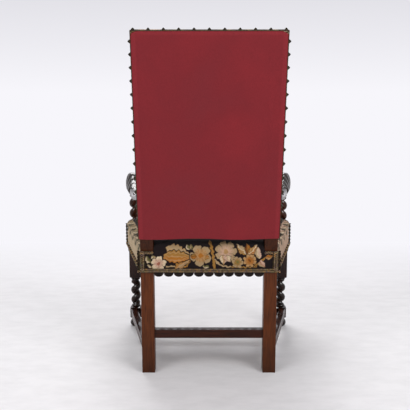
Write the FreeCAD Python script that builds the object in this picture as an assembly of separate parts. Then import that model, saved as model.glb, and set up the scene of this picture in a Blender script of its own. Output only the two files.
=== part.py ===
import FreeCAD, Part
import math
import os

# High-back armchair: leaning padded back, barley-twist front posts, scrolled arms, stuffed seat.
# Lengths are in millimetres and angles in degrees. The chair faces -Y and stands on Z = 0.
# Y = 0 is the rear face of the back legs until the finished chair is centred on its origin.

# Back posts
post_size = 46.0
back_width = 480.0
bend_height = 455.0
back_rake = 11.5
back_length = 739.0
bend_radius = 60.0
post_edge_round = 2.0

# Front posts, from the bun foot up to the tenon in the arm
front_axis_x = 311.0
front_axis_forward = 480.0
block_size = 47.0
foot_diameter = 52.0
foot_flat_diameter = 36.0
foot_height = 32.0
neck_diameter = 30.0
neck_height = 4.0
lower_block_top = 90.0
upper_block_height = 226.0
block_shoulder = 8.0
collar_diameter = 37.0
collar_height = 7.0
collar_bevel = 2.5
collar_clearance = 1.0
column_diameter = 41.0
column_height = 21.0
arm_seat_rise = 134.0
arm_tenon_diameter = 18.0
arm_tenon_height = 22.0

# Barley twist
twist_core_diameter = 29.0
twist_throw = 6.0
twist_pitch = 41.0
twist_ease_turns = 0.4
twist_slices_per_turn = 10
twist_slice_sides = 14

# Seat frame
rail_drop = 15.0
rail_thickness = 26.0
rear_rail_height = 56.0
side_rail_height = 66.0
rail_setback = 2.0

# Back frame, measured up the slope from the bend
crest_height = 88.0
back_rail_thickness = 43.0
lower_back_rail_height = 50.0
panel_start = 43.0

# Stretchers
stretcher_height = 30.0
stretcher_thickness = 27.0
stretcher_edge_round = 2.0
rear_stretcher_low = 129.0
rear_stretcher_setback = 8.0
side_stretcher_low = 52.0
side_stretcher_setback = 3.0
cross_stretcher_forward = 212.0
cross_tenon_share = 0.6

# Mortise and tenon joints
tenon_thickness = 12.0
tenon_length = 20.0
tenon_shoulder = 6.0
fit_gap = 0.15

# Arms
arm_rear_rise = 83.0
arm_dip_rise = 20.0
arm_dip_skew = 1.5
arm_hump_rise = 45.0
arm_rear_depth = 36.0
arm_dip_depth = 33.0
arm_hump_depth = 90.0
arm_rear_width = 34.0
arm_front_width = 42.0
arm_edge_round = 11.0
arm_swell_power = 8
arm_outward_shift = 6.0
arm_stations = 11
arm_scroll_overlap = 1.0
scroll_radius = 45.0
scroll_forward = 25.0
scroll_rise = 46.0
scroll_width = 46.0
scroll_eye_radius = 14.0
scroll_eye_height = 2.5
scroll_step_radius = 30.0
scroll_step_height = 2.0
arm_tenon_width = 14.0
arm_tenon_depth = 22.0

# Webbing and base cloths under the stuffing
strap_width = 44.0
strap_thickness = 1.5
seat_straps_across = 4
seat_straps_forward = 5
back_straps = 6
back_strap_end_gap = 11.0
base_cloth_thickness = 2.5
layer_gap = 0.2

# Seat upholstery
soft_gap = 0.3
cover_thickness = 4.0
cover_overhang = 2.0
post_tab_rise = 6.0
pad_bulge = 7.0
pad_rim = 9.0
pad_crown = 33.0
pad_draw_in = 0.985
pad_corner_round = 26.0
pad_rows = 5
pad_last_row_angle = 78.0
pad_roundness = 0.35
kink_round = 40.0

# Braid and scallops of the seat
galon_thickness = 2.0
galon_height = 13.0
galon_drop = 6.0
tab_galon_height = 10.0
corner_galon_width = 14.0
scallop_thickness = 1.8
rear_scallop_drop = 22.0
side_scallop_drop = 29.0
scallop_lobe_depth = 12.0
scallop_pitch = 35.0
scallop_end_gap = 6.0

# Back upholstery
back_pad_start = 30.0
back_pad_depth = 36.0
back_pad_rim = 8.0
back_pad_corner_round = 18.0
back_wrap_thickness = 3.0
back_cloth_thickness = 2.0
back_galon_width = 15.0
arm_notch_gap = 1.0

# Diamond-point nails round the back
nail_width = 13.0
nail_height = 8.0
nail_pitch = 47.0
nail_corner_gap = 4.0
nail_top_gap = 28.0
nail_low_gap = 14.0

# Derived places
post_outer = back_width / 2
post_inner = post_outer - post_size
block_half = block_size / 2
block_rear = -front_axis_forward + block_half
block_front = -front_axis_forward - block_half
block_outer = front_axis_x + block_half
block_inner = front_axis_x - block_half
back_top = bend_height + back_length
panel_low = bend_height + panel_start
rail_top = bend_height - rail_drop
rear_rail_low = rail_top - rear_rail_height
side_rail_low = rail_top - side_rail_height
rear_cover_low = rear_rail_low - cover_overhang
side_cover_low = side_rail_low - cover_overhang
upper_block_low = rail_top - upper_block_height
arm_seat_height = rail_top + arm_seat_rise
column_top = rail_top + column_height
pad_low = rail_top + 2 * strap_thickness + base_cloth_thickness + 4 * layer_gap
cover_top = pad_low - soft_gap
post_tab_top = cover_top + post_tab_rise

# Longer than the whole chair
FAR = 2000.0

parts = {}


def point(x, y, z):
    return FreeCAD.Vector(x, y, z)


def box(x0, x1, y0, y1, z0, z1):
    return Part.makeBox(x1 - x0, y1 - y0, z1 - z0, point(x0, y0, z0))


def both_sides(shape):
    """The piece and its mirror image across the chair's middle."""
    return shape, shape.mirror(point(0, 0, 0), point(1, 0, 0))


def lean(shape):
    """Turns a piece of an upright back about the bend line, so that its top leans to the rear."""
    leaning = shape.copy()
    leaning.rotate(point(0, 0, bend_height), point(1, 0, 0), -back_rake)
    return leaning


def rounded_wire(corners, radii):
    """Closed wire through the corners, each rounded by its own radius; zero leaves a corner sharp."""
    count = len(corners)
    entries = []
    exits = []
    arcs = []
    for index, corner in enumerate(corners):
        radius = radii[index]
        before = (corners[index - 1] - corner).normalize()
        after = (corners[(index + 1) % count] - corner).normalize()
        half_angle = before.getAngle(after) / 2
        reach = radius / math.tan(half_angle)
        middle = (before + after).normalize() * (radius / math.sin(half_angle) - radius)
        entries.append(corner + before * reach)
        exits.append(corner + after * reach)
        arcs.append(corner + middle)
    edges = []
    for index in range(count):
        if radii[index] > 0:
            edges.append(Part.Arc(entries[index], arcs[index], exits[index]).toShape())
        edges.append(Part.LineSegment(exits[index], entries[(index + 1) % count]).toShape())
    return Part.Wire(edges)


def prism(corners, direction, radii=None):
    """Solid swept straight from a flat outline."""
    wire = rounded_wire(corners, radii or [0.0] * len(corners))
    return Part.Face(wire).extrude(direction)


def turned(profile):
    """Solid of revolution about Z from a profile of edges that starts and ends on the axis."""
    face = Part.Face(Part.Wire(profile))
    return face.revolve(point(0, 0, 0), point(0, 0, 1), 360)


def line(start, end):
    return Part.LineSegment(start, end).toShape()


def ruled_loft(wires):
    """Solid through the wires in order, straight from each one to the next."""
    return Part.makeLoft(wires, True, True)


def round_long_edges(shape, radius, least_length):
    return shape.makeFillet(radius, [edge for edge in shape.Edges if edge.Length > least_length])


# Wooden frame

def cross_bar(half_span, rear_face, thickness, low, high):
    """Rail along X with a tenon at each end, and the mortise that takes it."""
    middle = rear_face - thickness / 2
    half_tenon = tenon_thickness / 2
    reach = half_span + tenon_length
    bar = box(-half_span + fit_gap, half_span - fit_gap, rear_face - thickness, rear_face, low, high)
    tenon_low = low + tenon_shoulder
    tenon_high = high - tenon_shoulder
    tenon = box(-reach, reach, middle - half_tenon, middle + half_tenon, tenon_low, tenon_high)
    mortise = box(-reach - fit_gap, reach + fit_gap,
                  middle - half_tenon - fit_gap, middle + half_tenon + fit_gap,
                  tenon_low - fit_gap, tenon_high + fit_gap)
    return bar.fuse(tenon), mortise


def plan_strip(rear_x, rear_y, front_x, front_y, half_thickness, low, high):
    """Straight bar between two points in plan, its ends cut square to Y."""
    angle = math.atan2(front_x - rear_x, rear_y - front_y)
    half = half_thickness / math.cos(angle)
    corners = [point(rear_x - half, rear_y, low), point(rear_x + half, rear_y, low),
               point(front_x + half, front_y, low), point(front_x - half, front_y, low)]
    return prism(corners, point(0, 0, high - low))


def side_bar_axis(setback, thickness):
    """Middle line of a side bar, as its X at the post's front and at the block's rear."""
    angle = math.atan2(block_outer - post_outer, -block_rear - post_size)
    inset = setback + thickness / 2 / math.cos(angle)
    return post_outer - inset, block_outer - inset


def side_bar(setback, thickness, low, high, edge_round=0.0):
    """Splayed bar from a back post to a front block with a tenon at each end, and its mortise."""
    rear_x, front_x = side_bar_axis(setback, thickness)
    rear_y = -post_size
    front_y = block_rear
    lean_out = (front_x - rear_x) / (rear_y - front_y)
    bar = plan_strip(rear_x, rear_y - fit_gap, front_x, front_y + fit_gap, thickness / 2, low, high)
    if edge_round > 0:
        bar = round_long_edges(bar, edge_round, (rear_y - front_y) / 2)

    def tongue(extra):
        reach = tenon_length + extra
        return plan_strip(rear_x - reach * lean_out, rear_y + reach,
                          front_x + reach * lean_out, front_y - reach,
                          tenon_thickness / 2 + extra,
                          low + tenon_shoulder - extra, high - tenon_shoulder + extra)

    return bar.fuse(tongue(0.0)), tongue(fit_gap)


def back_post(mortises):
    """Left back leg and post in one: upright below the bend, leaning above it."""
    rake = math.radians(back_rake)
    run = back_length * math.sin(rake)
    rise = bend_height + back_length * math.cos(rake)
    knee = bend_height + post_size * math.tan(rake / 2)
    profile = [(0.0, 0.0), (0.0, bend_height), (run, rise),
               (run - post_size * math.cos(rake), rise + post_size * math.sin(rake)),
               (-post_size, knee), (-post_size, 0.0)]
    corners = [point(post_inner, y, z) for y, z in profile]
    radii = [0.0, bend_radius, 0.0, 0.0, bend_radius + post_size, 0.0]
    post = prism(corners, point(post_size, 0, 0), radii)
    post = round_long_edges(post, post_edge_round, bend_height / 2)
    for mortise in mortises:
        post = post.cut(mortise)
    return post


def twist_slice(low, high, z):
    """Level ring of points whose centre winds about Z and eases in at both ends of the twist."""
    ease = min(1.0, min(z - low, high - z) / (twist_ease_turns * twist_pitch))
    throw = twist_throw * math.sin(ease * math.pi / 2)
    turn = 2 * math.pi * (z - low) / twist_pitch
    centre = point(throw * math.cos(turn), throw * math.sin(turn), z)
    steps = [turn + 2 * math.pi * side / twist_slice_sides for side in range(twist_slice_sides)]
    radius = twist_core_diameter / 2
    return [centre + point(radius * math.cos(a), radius * math.sin(a), 0) for a in steps]


def flat_face(*corners):
    return Part.Face(Part.makePolygon(list(corners) + [corners[0]]))


def twist(low, high):
    """Single-start barley twist, faceted between level slices that turn with it."""
    slices = math.ceil((high - low) / twist_pitch * twist_slices_per_turn)
    rings = [twist_slice(low, high, low + (high - low) * index / slices) for index in range(slices + 1)]
    faces = [flat_face(*rings[0]), flat_face(*rings[-1])]
    for under, over in zip(rings, rings[1:]):
        for side in range(twist_slice_sides):
            faces.append(flat_face(under[side - 1], under[side], over[side]))
            faces.append(flat_face(under[side - 1], over[side], over[side - 1]))
    return Part.makeSolid(Part.makeShell(faces))


def collar(low):
    """Turned ring with bevelled edges."""
    ring = Part.makeCylinder(collar_diameter / 2, collar_height, point(0, 0, low))
    return ring.makeChamfer(collar_bevel, [edge for edge in ring.Edges if edge.Length > collar_diameter])


def turned_block(low, high, shoulder_above):
    """Square block whose ends were rounded down to the collars on the lathe."""
    corner = block_half * math.sqrt(2)
    inner = collar_diameter / 2
    square = box(-block_half, block_half, -block_half, block_half, low, high)
    marks = [(0.0, low), (inner, low), (corner, low + block_shoulder)]
    if shoulder_above:
        marks += [(corner, high - block_shoulder), (inner, high)]
    else:
        marks.append((corner, high))
    marks.append((0.0, high))
    corners = [point(radius, 0, z) for radius, z in marks]
    edges = [line(a, b) for a, b in zip(corners, corners[1:] + corners[:1])]
    return square.common(turned(edges))


def bun_foot():
    """Flattened ball with a flat sole and a short neck up into the block."""
    sole = point(foot_flat_diameter / 2, 0, 0)
    belly = point(foot_diameter / 2, 0, foot_height / 2)
    top = point(neck_diameter / 2, 0, foot_height)
    neck_top = point(neck_diameter / 2, 0, foot_height + neck_height)
    axis_top = point(0, 0, foot_height + neck_height)
    axis_low = point(0, 0, 0)
    return turned([line(axis_low, sole), Part.Arc(sole, belly, top).toShape(), line(top, neck_top),
                   line(neck_top, axis_top), line(axis_top, axis_low)])


def front_post(mortises):
    """Left front leg and arm support, turned from one piece of wood."""
    lower_block_low = foot_height + neck_height
    half_collar = collar_height / 2
    top_collar_low = arm_seat_height - collar_height
    pieces = [
        turned_block(lower_block_low, lower_block_top, True),
        collar(lower_block_top),
        twist(lower_block_top + half_collar, upper_block_low - half_collar),
        collar(upper_block_low - collar_height),
        turned_block(upper_block_low, rail_top, False),
        Part.makeCylinder(column_diameter / 2, column_height, point(0, 0, rail_top)),
        twist(column_top - half_collar, arm_seat_height - half_collar),
        collar(top_collar_low),
        Part.makeCylinder(arm_tenon_diameter / 2, arm_tenon_height, point(0, 0, arm_seat_height)),
    ]
    post = bun_foot().multiFuse(pieces)
    post.translate(point(front_axis_x, -front_axis_forward, 0))
    for mortise in mortises:
        post = post.cut(mortise)
    return post


def arm_line(share):
    """Middle of the arm at a share of the way from the post to the front post."""
    post_middle = post_outer - post_size / 2
    x = post_middle + (front_axis_x + arm_outward_shift - post_middle) * share
    straight = arm_rear_rise + (arm_hump_rise - arm_rear_rise) * share
    sag = (arm_rear_rise + arm_hump_rise) / 2 - arm_dip_rise
    along = min(max(share, 0.0), 1.0) ** arm_dip_skew
    rise = straight - sag * math.sin(math.pi * along)
    return point(x, -front_axis_forward * share, arm_seat_height + rise)


def across_arm(centre, width, depth):
    """Rounded section across the arm."""
    corners = [centre + point(side_x * width / 2, 0, side_z * depth / 2)
               for side_x, side_z in ((-1, -1), (1, -1), (1, 1), (-1, 1))]
    return rounded_wire(corners, [arm_edge_round] * 4)


def arm_section(share):
    """Section at a share of the arm's run: slim at the dip, deep and wide at the front."""
    grow = min(max(share, 0.0), 1.0)
    width = arm_rear_width + (arm_front_width - arm_rear_width) * grow
    depth = arm_rear_depth + (arm_hump_depth - arm_rear_depth) * grow ** arm_swell_power
    slim = (arm_rear_depth - arm_dip_depth) * math.sin(math.pi * grow)
    return across_arm(arm_line(share), width, depth - slim)


def scroll_centre():
    return point(arm_line(1.0).x, -front_axis_forward - scroll_forward, arm_seat_height + scroll_rise)


def scroll():
    """Rolled front end of the arm: a drum across the arm with stepped sides and a round eye."""
    place = scroll_centre()
    steps = ((scroll_radius, 0.0), (scroll_step_radius, scroll_step_height),
             (scroll_eye_radius, scroll_step_height + scroll_eye_height))
    drums = []
    for radius, proud in steps:
        half = scroll_width / 2 + proud
        drums.append(Part.makeCylinder(radius, 2 * half, place - point(half, 0, 0), point(1, 0, 0)))
    return drums[0].multiFuse(drums[1:])


def arm_tenon(extra):
    """Tenon at the arm's rear end, level and set into the front face of the leaning post."""
    middle = arm_line(0.0)
    half_width = arm_tenon_width / 2 + extra
    half_depth = arm_tenon_depth / 2 + extra
    face_y = post_front_at(middle.z)
    return box(middle.x - half_width, middle.x + half_width, face_y - tenon_length,
               face_y + tenon_length + extra, middle.z - half_depth, middle.z + half_depth)


def post_front_at(z):
    """Y of the leaning post's front face at a height above the bend."""
    rake = math.radians(back_rake)
    knee = bend_height + post_size * math.tan(rake / 2)
    return -post_size + (z - knee) * math.tan(rake)


def arm():
    """Left arm: dips behind the elbow, swells to the front and rolls over in a scroll."""
    rear_share = -post_size / front_axis_forward
    shares = [rear_share + (1.0 - rear_share) * step / (arm_stations - 1) for step in range(arm_stations)]
    sections = [arm_section(share) for share in shares]
    sections.append(across_arm(scroll_centre(), arm_front_width, 2 * scroll_radius - arm_scroll_overlap))
    bow = ruled_loft(sections)
    behind = lean(box(-FAR, FAR, -post_size - fit_gap, FAR, -FAR, FAR))
    bow = bow.cut(behind).fuse(arm_tenon(0.0)).fuse(scroll())
    socket = Part.makeCylinder(arm_tenon_diameter / 2 + fit_gap, arm_tenon_height + 2 * fit_gap,
                               point(front_axis_x, -front_axis_forward, arm_seat_height))
    seat = Part.makeCylinder(collar_diameter / 2 + collar_clearance, collar_height,
                             point(front_axis_x, -front_axis_forward,
                                   arm_seat_height + fit_gap - collar_height))
    return bow.cut(socket).cut(seat)


def cross_stretcher():
    """Level bar between the side stretchers, and the mortises that it needs in them."""
    rear_x, front_x = side_bar_axis(side_stretcher_setback, stretcher_thickness)
    slope = (front_x - rear_x) / (-post_size - block_rear)
    angle = math.atan(slope)
    half_wide = stretcher_thickness / 2 / math.cos(angle)
    half_deep = stretcher_thickness / 2
    low = side_stretcher_low
    high = low + stretcher_height

    def inner_face(y):
        return rear_x + (-post_size - y) * slope - half_wide - fit_gap

    rear_y = -cross_stretcher_forward + half_deep
    front_y = -cross_stretcher_forward - half_deep
    corners = [point(-inner_face(rear_y), rear_y, low), point(inner_face(rear_y), rear_y, low),
               point(inner_face(front_y), front_y, low), point(-inner_face(front_y), front_y, low)]
    bar = prism(corners, point(0, 0, stretcher_height))
    bar = round_long_edges(bar, stretcher_edge_round, back_width / 2)
    reach = inner_face(-cross_stretcher_forward) + stretcher_thickness * cross_tenon_share

    def tongue(extra):
        half = tenon_thickness / 2 + extra
        return box(-reach - extra, reach + extra, -cross_stretcher_forward - half,
                   -cross_stretcher_forward + half, low + tenon_shoulder - extra,
                   high - tenon_shoulder + extra)

    return bar.fuse(tongue(0.0)), tongue(fit_gap)


def build_frame():
    rear_rail, rear_rail_mortise = cross_bar(post_inner, -rail_setback, rail_thickness,
                                             rear_rail_low, rail_top)
    front_rail, front_rail_mortise = cross_bar(block_inner, block_front + rail_setback + rail_thickness,
                                               rail_thickness, side_rail_low, rail_top)
    side_rail, side_rail_mortise = side_bar(rail_setback, rail_thickness, side_rail_low, rail_top)
    side_stretcher, side_stretcher_mortise = side_bar(
        side_stretcher_setback, stretcher_thickness, side_stretcher_low,
        side_stretcher_low + stretcher_height, stretcher_edge_round)
    rear_stretcher, rear_stretcher_mortise = cross_bar(
        post_inner, -rear_stretcher_setback, stretcher_thickness, rear_stretcher_low,
        rear_stretcher_low + stretcher_height)
    cross_bar_low, cross_mortise = cross_stretcher()
    crest, crest_mortise = cross_bar(post_inner, -fit_gap, back_rail_thickness,
                                     back_top - crest_height, back_top)
    lower_back, lower_back_mortise = cross_bar(post_inner, -fit_gap, back_rail_thickness, panel_low,
                                               panel_low + lower_back_rail_height)
    post = back_post([rear_rail_mortise, side_rail_mortise, side_stretcher_mortise,
                      rear_stretcher_mortise, lean(crest_mortise), lean(lower_back_mortise),
                      arm_tenon(fit_gap)])
    parts["back_post_left"], parts["back_post_right"] = both_sides(post)
    leg = front_post([front_rail_mortise, side_rail_mortise, side_stretcher_mortise])
    parts["front_post_left"], parts["front_post_right"] = both_sides(leg)
    parts["arm_left"], parts["arm_right"] = both_sides(arm())
    parts["side_rail_left"], parts["side_rail_right"] = both_sides(side_rail)
    bored_stretcher = side_stretcher.cut(cross_mortise)
    parts["side_stretcher_left"], parts["side_stretcher_right"] = both_sides(bored_stretcher)
    parts["rear_rail"] = rear_rail
    parts["front_rail"] = front_rail
    parts["rear_stretcher"] = rear_stretcher
    parts["cross_stretcher"] = cross_bar_low
    parts["crest_rail"] = lean(crest)
    parts["lower_back_rail"] = lean(lower_back)


# Seat upholstery

def seat_outline(offset, low):
    """Corners of the seat in plan, moved outwards by an offset, clockwise from the left rear."""
    half = [(post_outer, 0.0), (post_outer, -post_size),
            (block_outer, block_rear), (block_outer, block_front)]
    plan = half + [(-x, y) for x, y in reversed(half)]
    count = len(plan)
    moved = []
    for index, (x, y) in enumerate(plan):
        before = point(x - plan[index - 1][0], y - plan[index - 1][1], 0).normalize()
        after_x, after_y = plan[(index + 1) % count]
        after = point(after_x - x, after_y - y, 0).normalize()
        out_before = point(-before.y, before.x, 0)
        out_after = point(-after.y, after.x, 0)
        push = (out_before + out_after) * (offset / (1 + out_before.dot(out_after)))
        moved.append(point(x, y, low) + push)
    return moved


def seat_radii(corner_round):
    half = [corner_round, kink_round, kink_round, corner_round]
    return half + half[::-1]


def seat_slab(offset, low, high):
    corners = seat_outline(offset, low)
    return prism(corners, point(0, 0, high - low), seat_radii(max(offset, soft_gap)))


def seat_wall(inner, outer, low, high):
    """Upright wall round the seat between two offsets of its outline."""
    return seat_slab(outer, low, high).cut(seat_slab(inner, low, high))


def rear_zone():
    return box(-FAR, FAR, 0.0, FAR, -FAR, FAR)


def front_zone():
    return box(-FAR, FAR, -FAR, block_front, -FAR, FAR)


def left_zone():
    return box(0.0, FAR, block_front, 0.0, -FAR, FAR)


def post_corner_zone(gap):
    """Room that the back posts and the front columns need above the seat frame."""
    corner = box(post_inner - gap, FAR, -post_size - gap, FAR, rail_top, FAR)
    column = Part.makeCylinder(column_diameter / 2 + gap, FAR,
                               point(front_axis_x, -front_axis_forward, rail_top))
    return both_sides(corner) + both_sides(column)


def cut_all(shape, tools):
    for tool in tools:
        shape = shape.cut(tool)
    return shape


def build_seat_cover():
    """Needlepoint walls that wrap the seat rails, with tabs up the rear of the back posts."""
    inner = soft_gap
    outer = soft_gap + cover_thickness
    side_wall = seat_wall(inner, outer, side_cover_low, cover_top)
    rear_wall = seat_wall(inner, outer, rear_cover_low, cover_top).common(rear_zone())
    tab_outer = post_outer + outer
    for side in both_sides(box(post_inner, tab_outer, inner, outer, cover_top, post_tab_top)):
        rear_wall = rear_wall.fuse(side)
    parts["seat_cover_rear"] = rear_wall
    parts["seat_cover_front"] = side_wall.common(front_zone())
    parts["seat_cover_left"], parts["seat_cover_right"] = both_sides(side_wall.common(left_zone()))


def build_seat_galon():
    """Flat woven braid round the lower edge of the cover, and round the tabs on the posts."""
    inner = soft_gap + cover_thickness + layer_gap
    outer = inner + galon_thickness
    side_low = side_cover_low - galon_drop
    rear_low = rear_cover_low - galon_drop
    side_ring = seat_wall(inner, outer, side_low, side_low + galon_height)
    rear_strip = seat_wall(inner, outer, rear_low, rear_low + galon_height).common(rear_zone())
    end = post_outer + inner
    upright = box(end - corner_galon_width, end, inner, outer, rear_low, post_tab_top)
    over_tab = box(post_inner, end, inner, outer, post_tab_top - tab_galon_height, post_tab_top)
    for shape in (upright, over_tab):
        for side in both_sides(shape):
            rear_strip = rear_strip.fuse(side)
    parts["seat_galon_rear"] = rear_strip
    parts["seat_galon_front"] = side_ring.common(front_zone())
    parts["seat_galon_left"], parts["seat_galon_right"] = both_sides(side_ring.common(left_zone()))


def scallop_strip(length, top, drop):
    """Flat trim along X, thick along Y, whose lower edge is a row of round lobes."""
    count = max(2, round(length / scallop_pitch))
    pitch = length / count
    lobe_top = top - drop + scallop_lobe_depth
    edges = []
    for index in range(count):
        start = point(index * pitch, 0, lobe_top)
        dip = point((index + 0.5) * pitch, 0, top - drop)
        end = point((index + 1) * pitch, 0, lobe_top)
        edges.append(Part.Arc(start, dip, end).toShape())
    edges.append(line(point(length, 0, lobe_top), point(length, 0, top)))
    edges.append(line(point(length, 0, top), point(0, 0, top)))
    edges.append(line(point(0, 0, top), point(0, 0, lobe_top)))
    return Part.Face(Part.Wire(edges)).extrude(point(0, scallop_thickness, 0))


def placed_strip(start, end, top, drop):
    """Scallop strip between two plan points, thickening to the left of its run."""
    run = end - start
    strip = scallop_strip(run.Length, top, drop)
    strip.rotate(point(0, 0, 0), point(0, 0, 1), math.degrees(math.atan2(run.y, run.x)))
    strip.translate(start)
    return strip


def build_scallops():
    """Black scalloped trim that hangs below the braid, just inside it."""
    depth = soft_gap + cover_thickness - scallop_thickness
    rear_top = rear_cover_low - layer_gap
    side_top = side_cover_low - layer_gap
    corners = seat_outline(depth, 0.0)
    side_run = (corners[2] - corners[1]).normalize() * scallop_end_gap
    post_end = corners[1] + side_run
    block_end = corners[2] - side_run
    front_end = corners[3] - point(scallop_end_gap, 0, 0)
    rear_end = post_inner - soft_gap
    parts["seat_scallops_rear"] = placed_strip(point(-rear_end, depth, 0), point(rear_end, depth, 0),
                                               rear_top, rear_scallop_drop)
    left = placed_strip(post_end, block_end, side_top, side_scallop_drop)
    parts["seat_scallops_left"], parts["seat_scallops_right"] = both_sides(left)
    parts["seat_scallops_front"] = placed_strip(front_end, point(-front_end.x, front_end.y, 0),
                                                side_top, side_scallop_drop)


def pad_profile(rim, crown):
    """Rows of a stuffed pad as height and share of its outline: drawn in, full, then crowned."""
    rows = [(0.0, pad_draw_in)]
    for step in range(pad_rows):
        angle = math.radians(pad_last_row_angle * step / (pad_rows - 1))
        rows.append((rim + crown * math.sin(angle), math.cos(angle) ** pad_roundness))
    return rows


def build_seat_pad():
    """Stuffed seat, crowned in the middle and cut round the posts."""
    middle = point(0, block_front / 2, 0)
    radii = seat_radii(pad_corner_round)
    wires = []
    for height, share in pad_profile(pad_rim, pad_crown):
        corners = [middle + (corner - middle) * share for corner in seat_outline(pad_bulge, 0.0)]
        lifted = [corner + point(0, 0, pad_low + height) for corner in corners]
        wires.append(rounded_wire(lifted, [radius * share for radius in radii]))
    pad = ruled_loft(wires)
    parts["seat_pad"] = cut_all(pad, post_corner_zone(soft_gap))


def build_seat_base():
    """Webbing straps tacked over the rails in two layers, and the base cloth on top of them."""
    rear_x, front_x = side_bar_axis(rail_setback, rail_thickness)
    run = -post_size - block_rear
    low = rail_top + layer_gap
    across = []
    for index in range(seat_straps_across):
        y = -post_size - run * (index + 1) / (seat_straps_across + 1)
        half = rear_x + (front_x - rear_x) * (-post_size - y) / run
        across.append(box(-half, half, y - strap_width / 2, y + strap_width / 2,
                          low, low + strap_thickness))
    low += strap_thickness + layer_gap
    forward = []
    rear_end = -rail_setback - rail_thickness / 2
    front_end = block_front + rail_setback + rail_thickness / 2
    spacing = 2 * post_inner / (seat_straps_forward + 1)
    for index in range(seat_straps_forward):
        x = spacing * (index + 1) - post_inner
        forward.append(box(x - strap_width / 2, x + strap_width / 2, front_end, rear_end,
                           low, low + strap_thickness))
    parts["seat_webbing"] = Part.makeCompound(across + forward)
    low += strap_thickness + layer_gap
    cloth = seat_slab(-rail_setback, low, low + base_cloth_thickness)
    parts["seat_base_cloth"] = cut_all(cloth, post_corner_zone(soft_gap))


# Back upholstery

def back_slab(half_width, low, high, front, rear):
    return box(-half_width, half_width, front, rear, low, high)


def arm_notch():
    """Room round both arms where they pass through the upholstery of the back."""
    rear = arm_line(0.0)
    pad_front = post_size + 2 * back_pad_depth
    front = arm_line(pad_front / front_axis_forward)
    half_depth = arm_rear_depth / 2 + arm_notch_gap
    inner = rear.x - arm_rear_width / 2 - arm_notch_gap
    notch = box(inner, FAR, -FAR, FAR, min(rear.z, front.z) - half_depth, max(rear.z, front.z) + half_depth)
    return both_sides(notch)


def build_back_base():
    """Webbing straps across the front of the back posts, and the base cloth over them."""
    rear = -post_size - layer_gap
    strap_end = post_outer - back_strap_end_gap
    straps = []
    for index in range(back_straps):
        middle = panel_low + (back_top - panel_low) * (index + 0.5) / back_straps
        straps.append(back_slab(strap_end, middle - strap_width / 2, middle + strap_width / 2,
                                rear - strap_thickness, rear))
    webbing = Part.makeCompound([cut_all(lean(strap), arm_notch()) for strap in straps])
    parts["back_webbing"] = webbing
    rear -= strap_thickness + layer_gap
    cloth = back_slab(post_outer, bend_height + back_pad_start, back_top, rear - base_cloth_thickness, rear)
    parts["back_base_cloth"] = cut_all(lean(cloth), arm_notch())
    return rear - base_cloth_thickness - soft_gap


def build_back_pad(rear):
    """Stuffed front of the back, crowned forwards and cut round the arms."""
    low = bend_height + back_pad_start
    high = back_top + back_wrap_thickness
    half_height = (high - low) / 2
    half_width = post_outer + back_wrap_thickness
    centre = point(0, 0, (low + high) / 2)
    wires = []
    for depth, share in pad_profile(back_pad_rim, back_pad_depth - back_pad_rim):
        corners = [centre + point(side_x * half_width * share, rear - depth, side_z * half_height * share)
                   for side_x, side_z in ((-1, -1), (1, -1), (1, 1), (-1, 1))]
        wires.append(rounded_wire(corners, [back_pad_corner_round * share] * 4))
    pad = lean(ruled_loft(wires))
    parts["back_pad"] = cut_all(pad, arm_notch())


def build_back_cover(front):
    """Cloth wrapped over the sides and top of the back, the plain cloth behind it and its braid."""
    inner = post_outer + layer_gap
    outer = inner + back_wrap_thickness
    top_inner = back_top + layer_gap
    top_outer = top_inner + back_wrap_thickness
    side_wrap = box(inner, outer, front, 0.0, panel_low, top_outer)
    parts["back_wrap_left"], parts["back_wrap_right"] = both_sides(lean(side_wrap))
    parts["back_wrap_top"] = lean(box(-post_outer, post_outer, front, 0.0, top_inner, top_outer))
    cloth = back_slab(outer, panel_low, top_outer, layer_gap, layer_gap + back_cloth_thickness)
    parts["back_cloth"] = lean(cloth)
    rear = layer_gap + back_cloth_thickness
    galon_inner = outer + layer_gap
    galon_outer = galon_inner + galon_thickness
    top_low = top_outer + layer_gap
    top_high = top_low + galon_thickness
    side_galon = box(galon_inner, galon_outer, rear - back_galon_width, rear, panel_low, top_high)
    parts["back_galon_left"], parts["back_galon_right"] = both_sides(lean(side_galon))
    top_galon = box(-galon_inner + layer_gap, galon_inner - layer_gap, rear - back_galon_width, rear,
                    top_low, top_high)
    parts["back_galon_top"] = lean(top_galon)
    return galon_outer, top_high, rear - back_galon_width / 2


def nail():
    """Four-sided pointed head that stands on Z = 0."""
    half = nail_width / 2
    tip = point(0, 0, nail_height)
    base = [point(-half, -half, 0), point(half, -half, 0), point(half, half, 0), point(-half, half, 0)]
    faces = [flat_face(base[side - 1], base[side], tip) for side in range(4)] + [flat_face(*base)]
    return Part.makeSolid(Part.makeShell(faces))


def nail_row(first, last):
    """Evenly spaced nails on a line, whose points look along +Z until the row is turned."""
    span = last - first
    count = max(1, round(span.Length / nail_pitch))
    heads = []
    for index in range(count + 1):
        head = nail()
        head.translate(first + span * (index / count))
        heads.append(head)
    return heads


def build_nails(side_x, top_z, middle_y):
    first_z = panel_low + nail_low_gap
    last_z = back_top - nail_top_gap
    column = []
    for head in nail_row(point(0, 0, 0), point(last_z - first_z, 0, 0)):
        head.rotate(point(0, 0, 0), point(0, 1, 0), 90)
        head.translate(point(side_x, middle_y, last_z))
        column.append(lean(head))
    left = Part.makeCompound(column)
    parts["back_nails_left"], parts["back_nails_right"] = both_sides(left)
    half = post_outer - nail_corner_gap
    row = nail_row(point(-half, middle_y, top_z), point(half, middle_y, top_z))
    parts["back_nails_top"] = Part.makeCompound([lean(head) for head in row])


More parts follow.
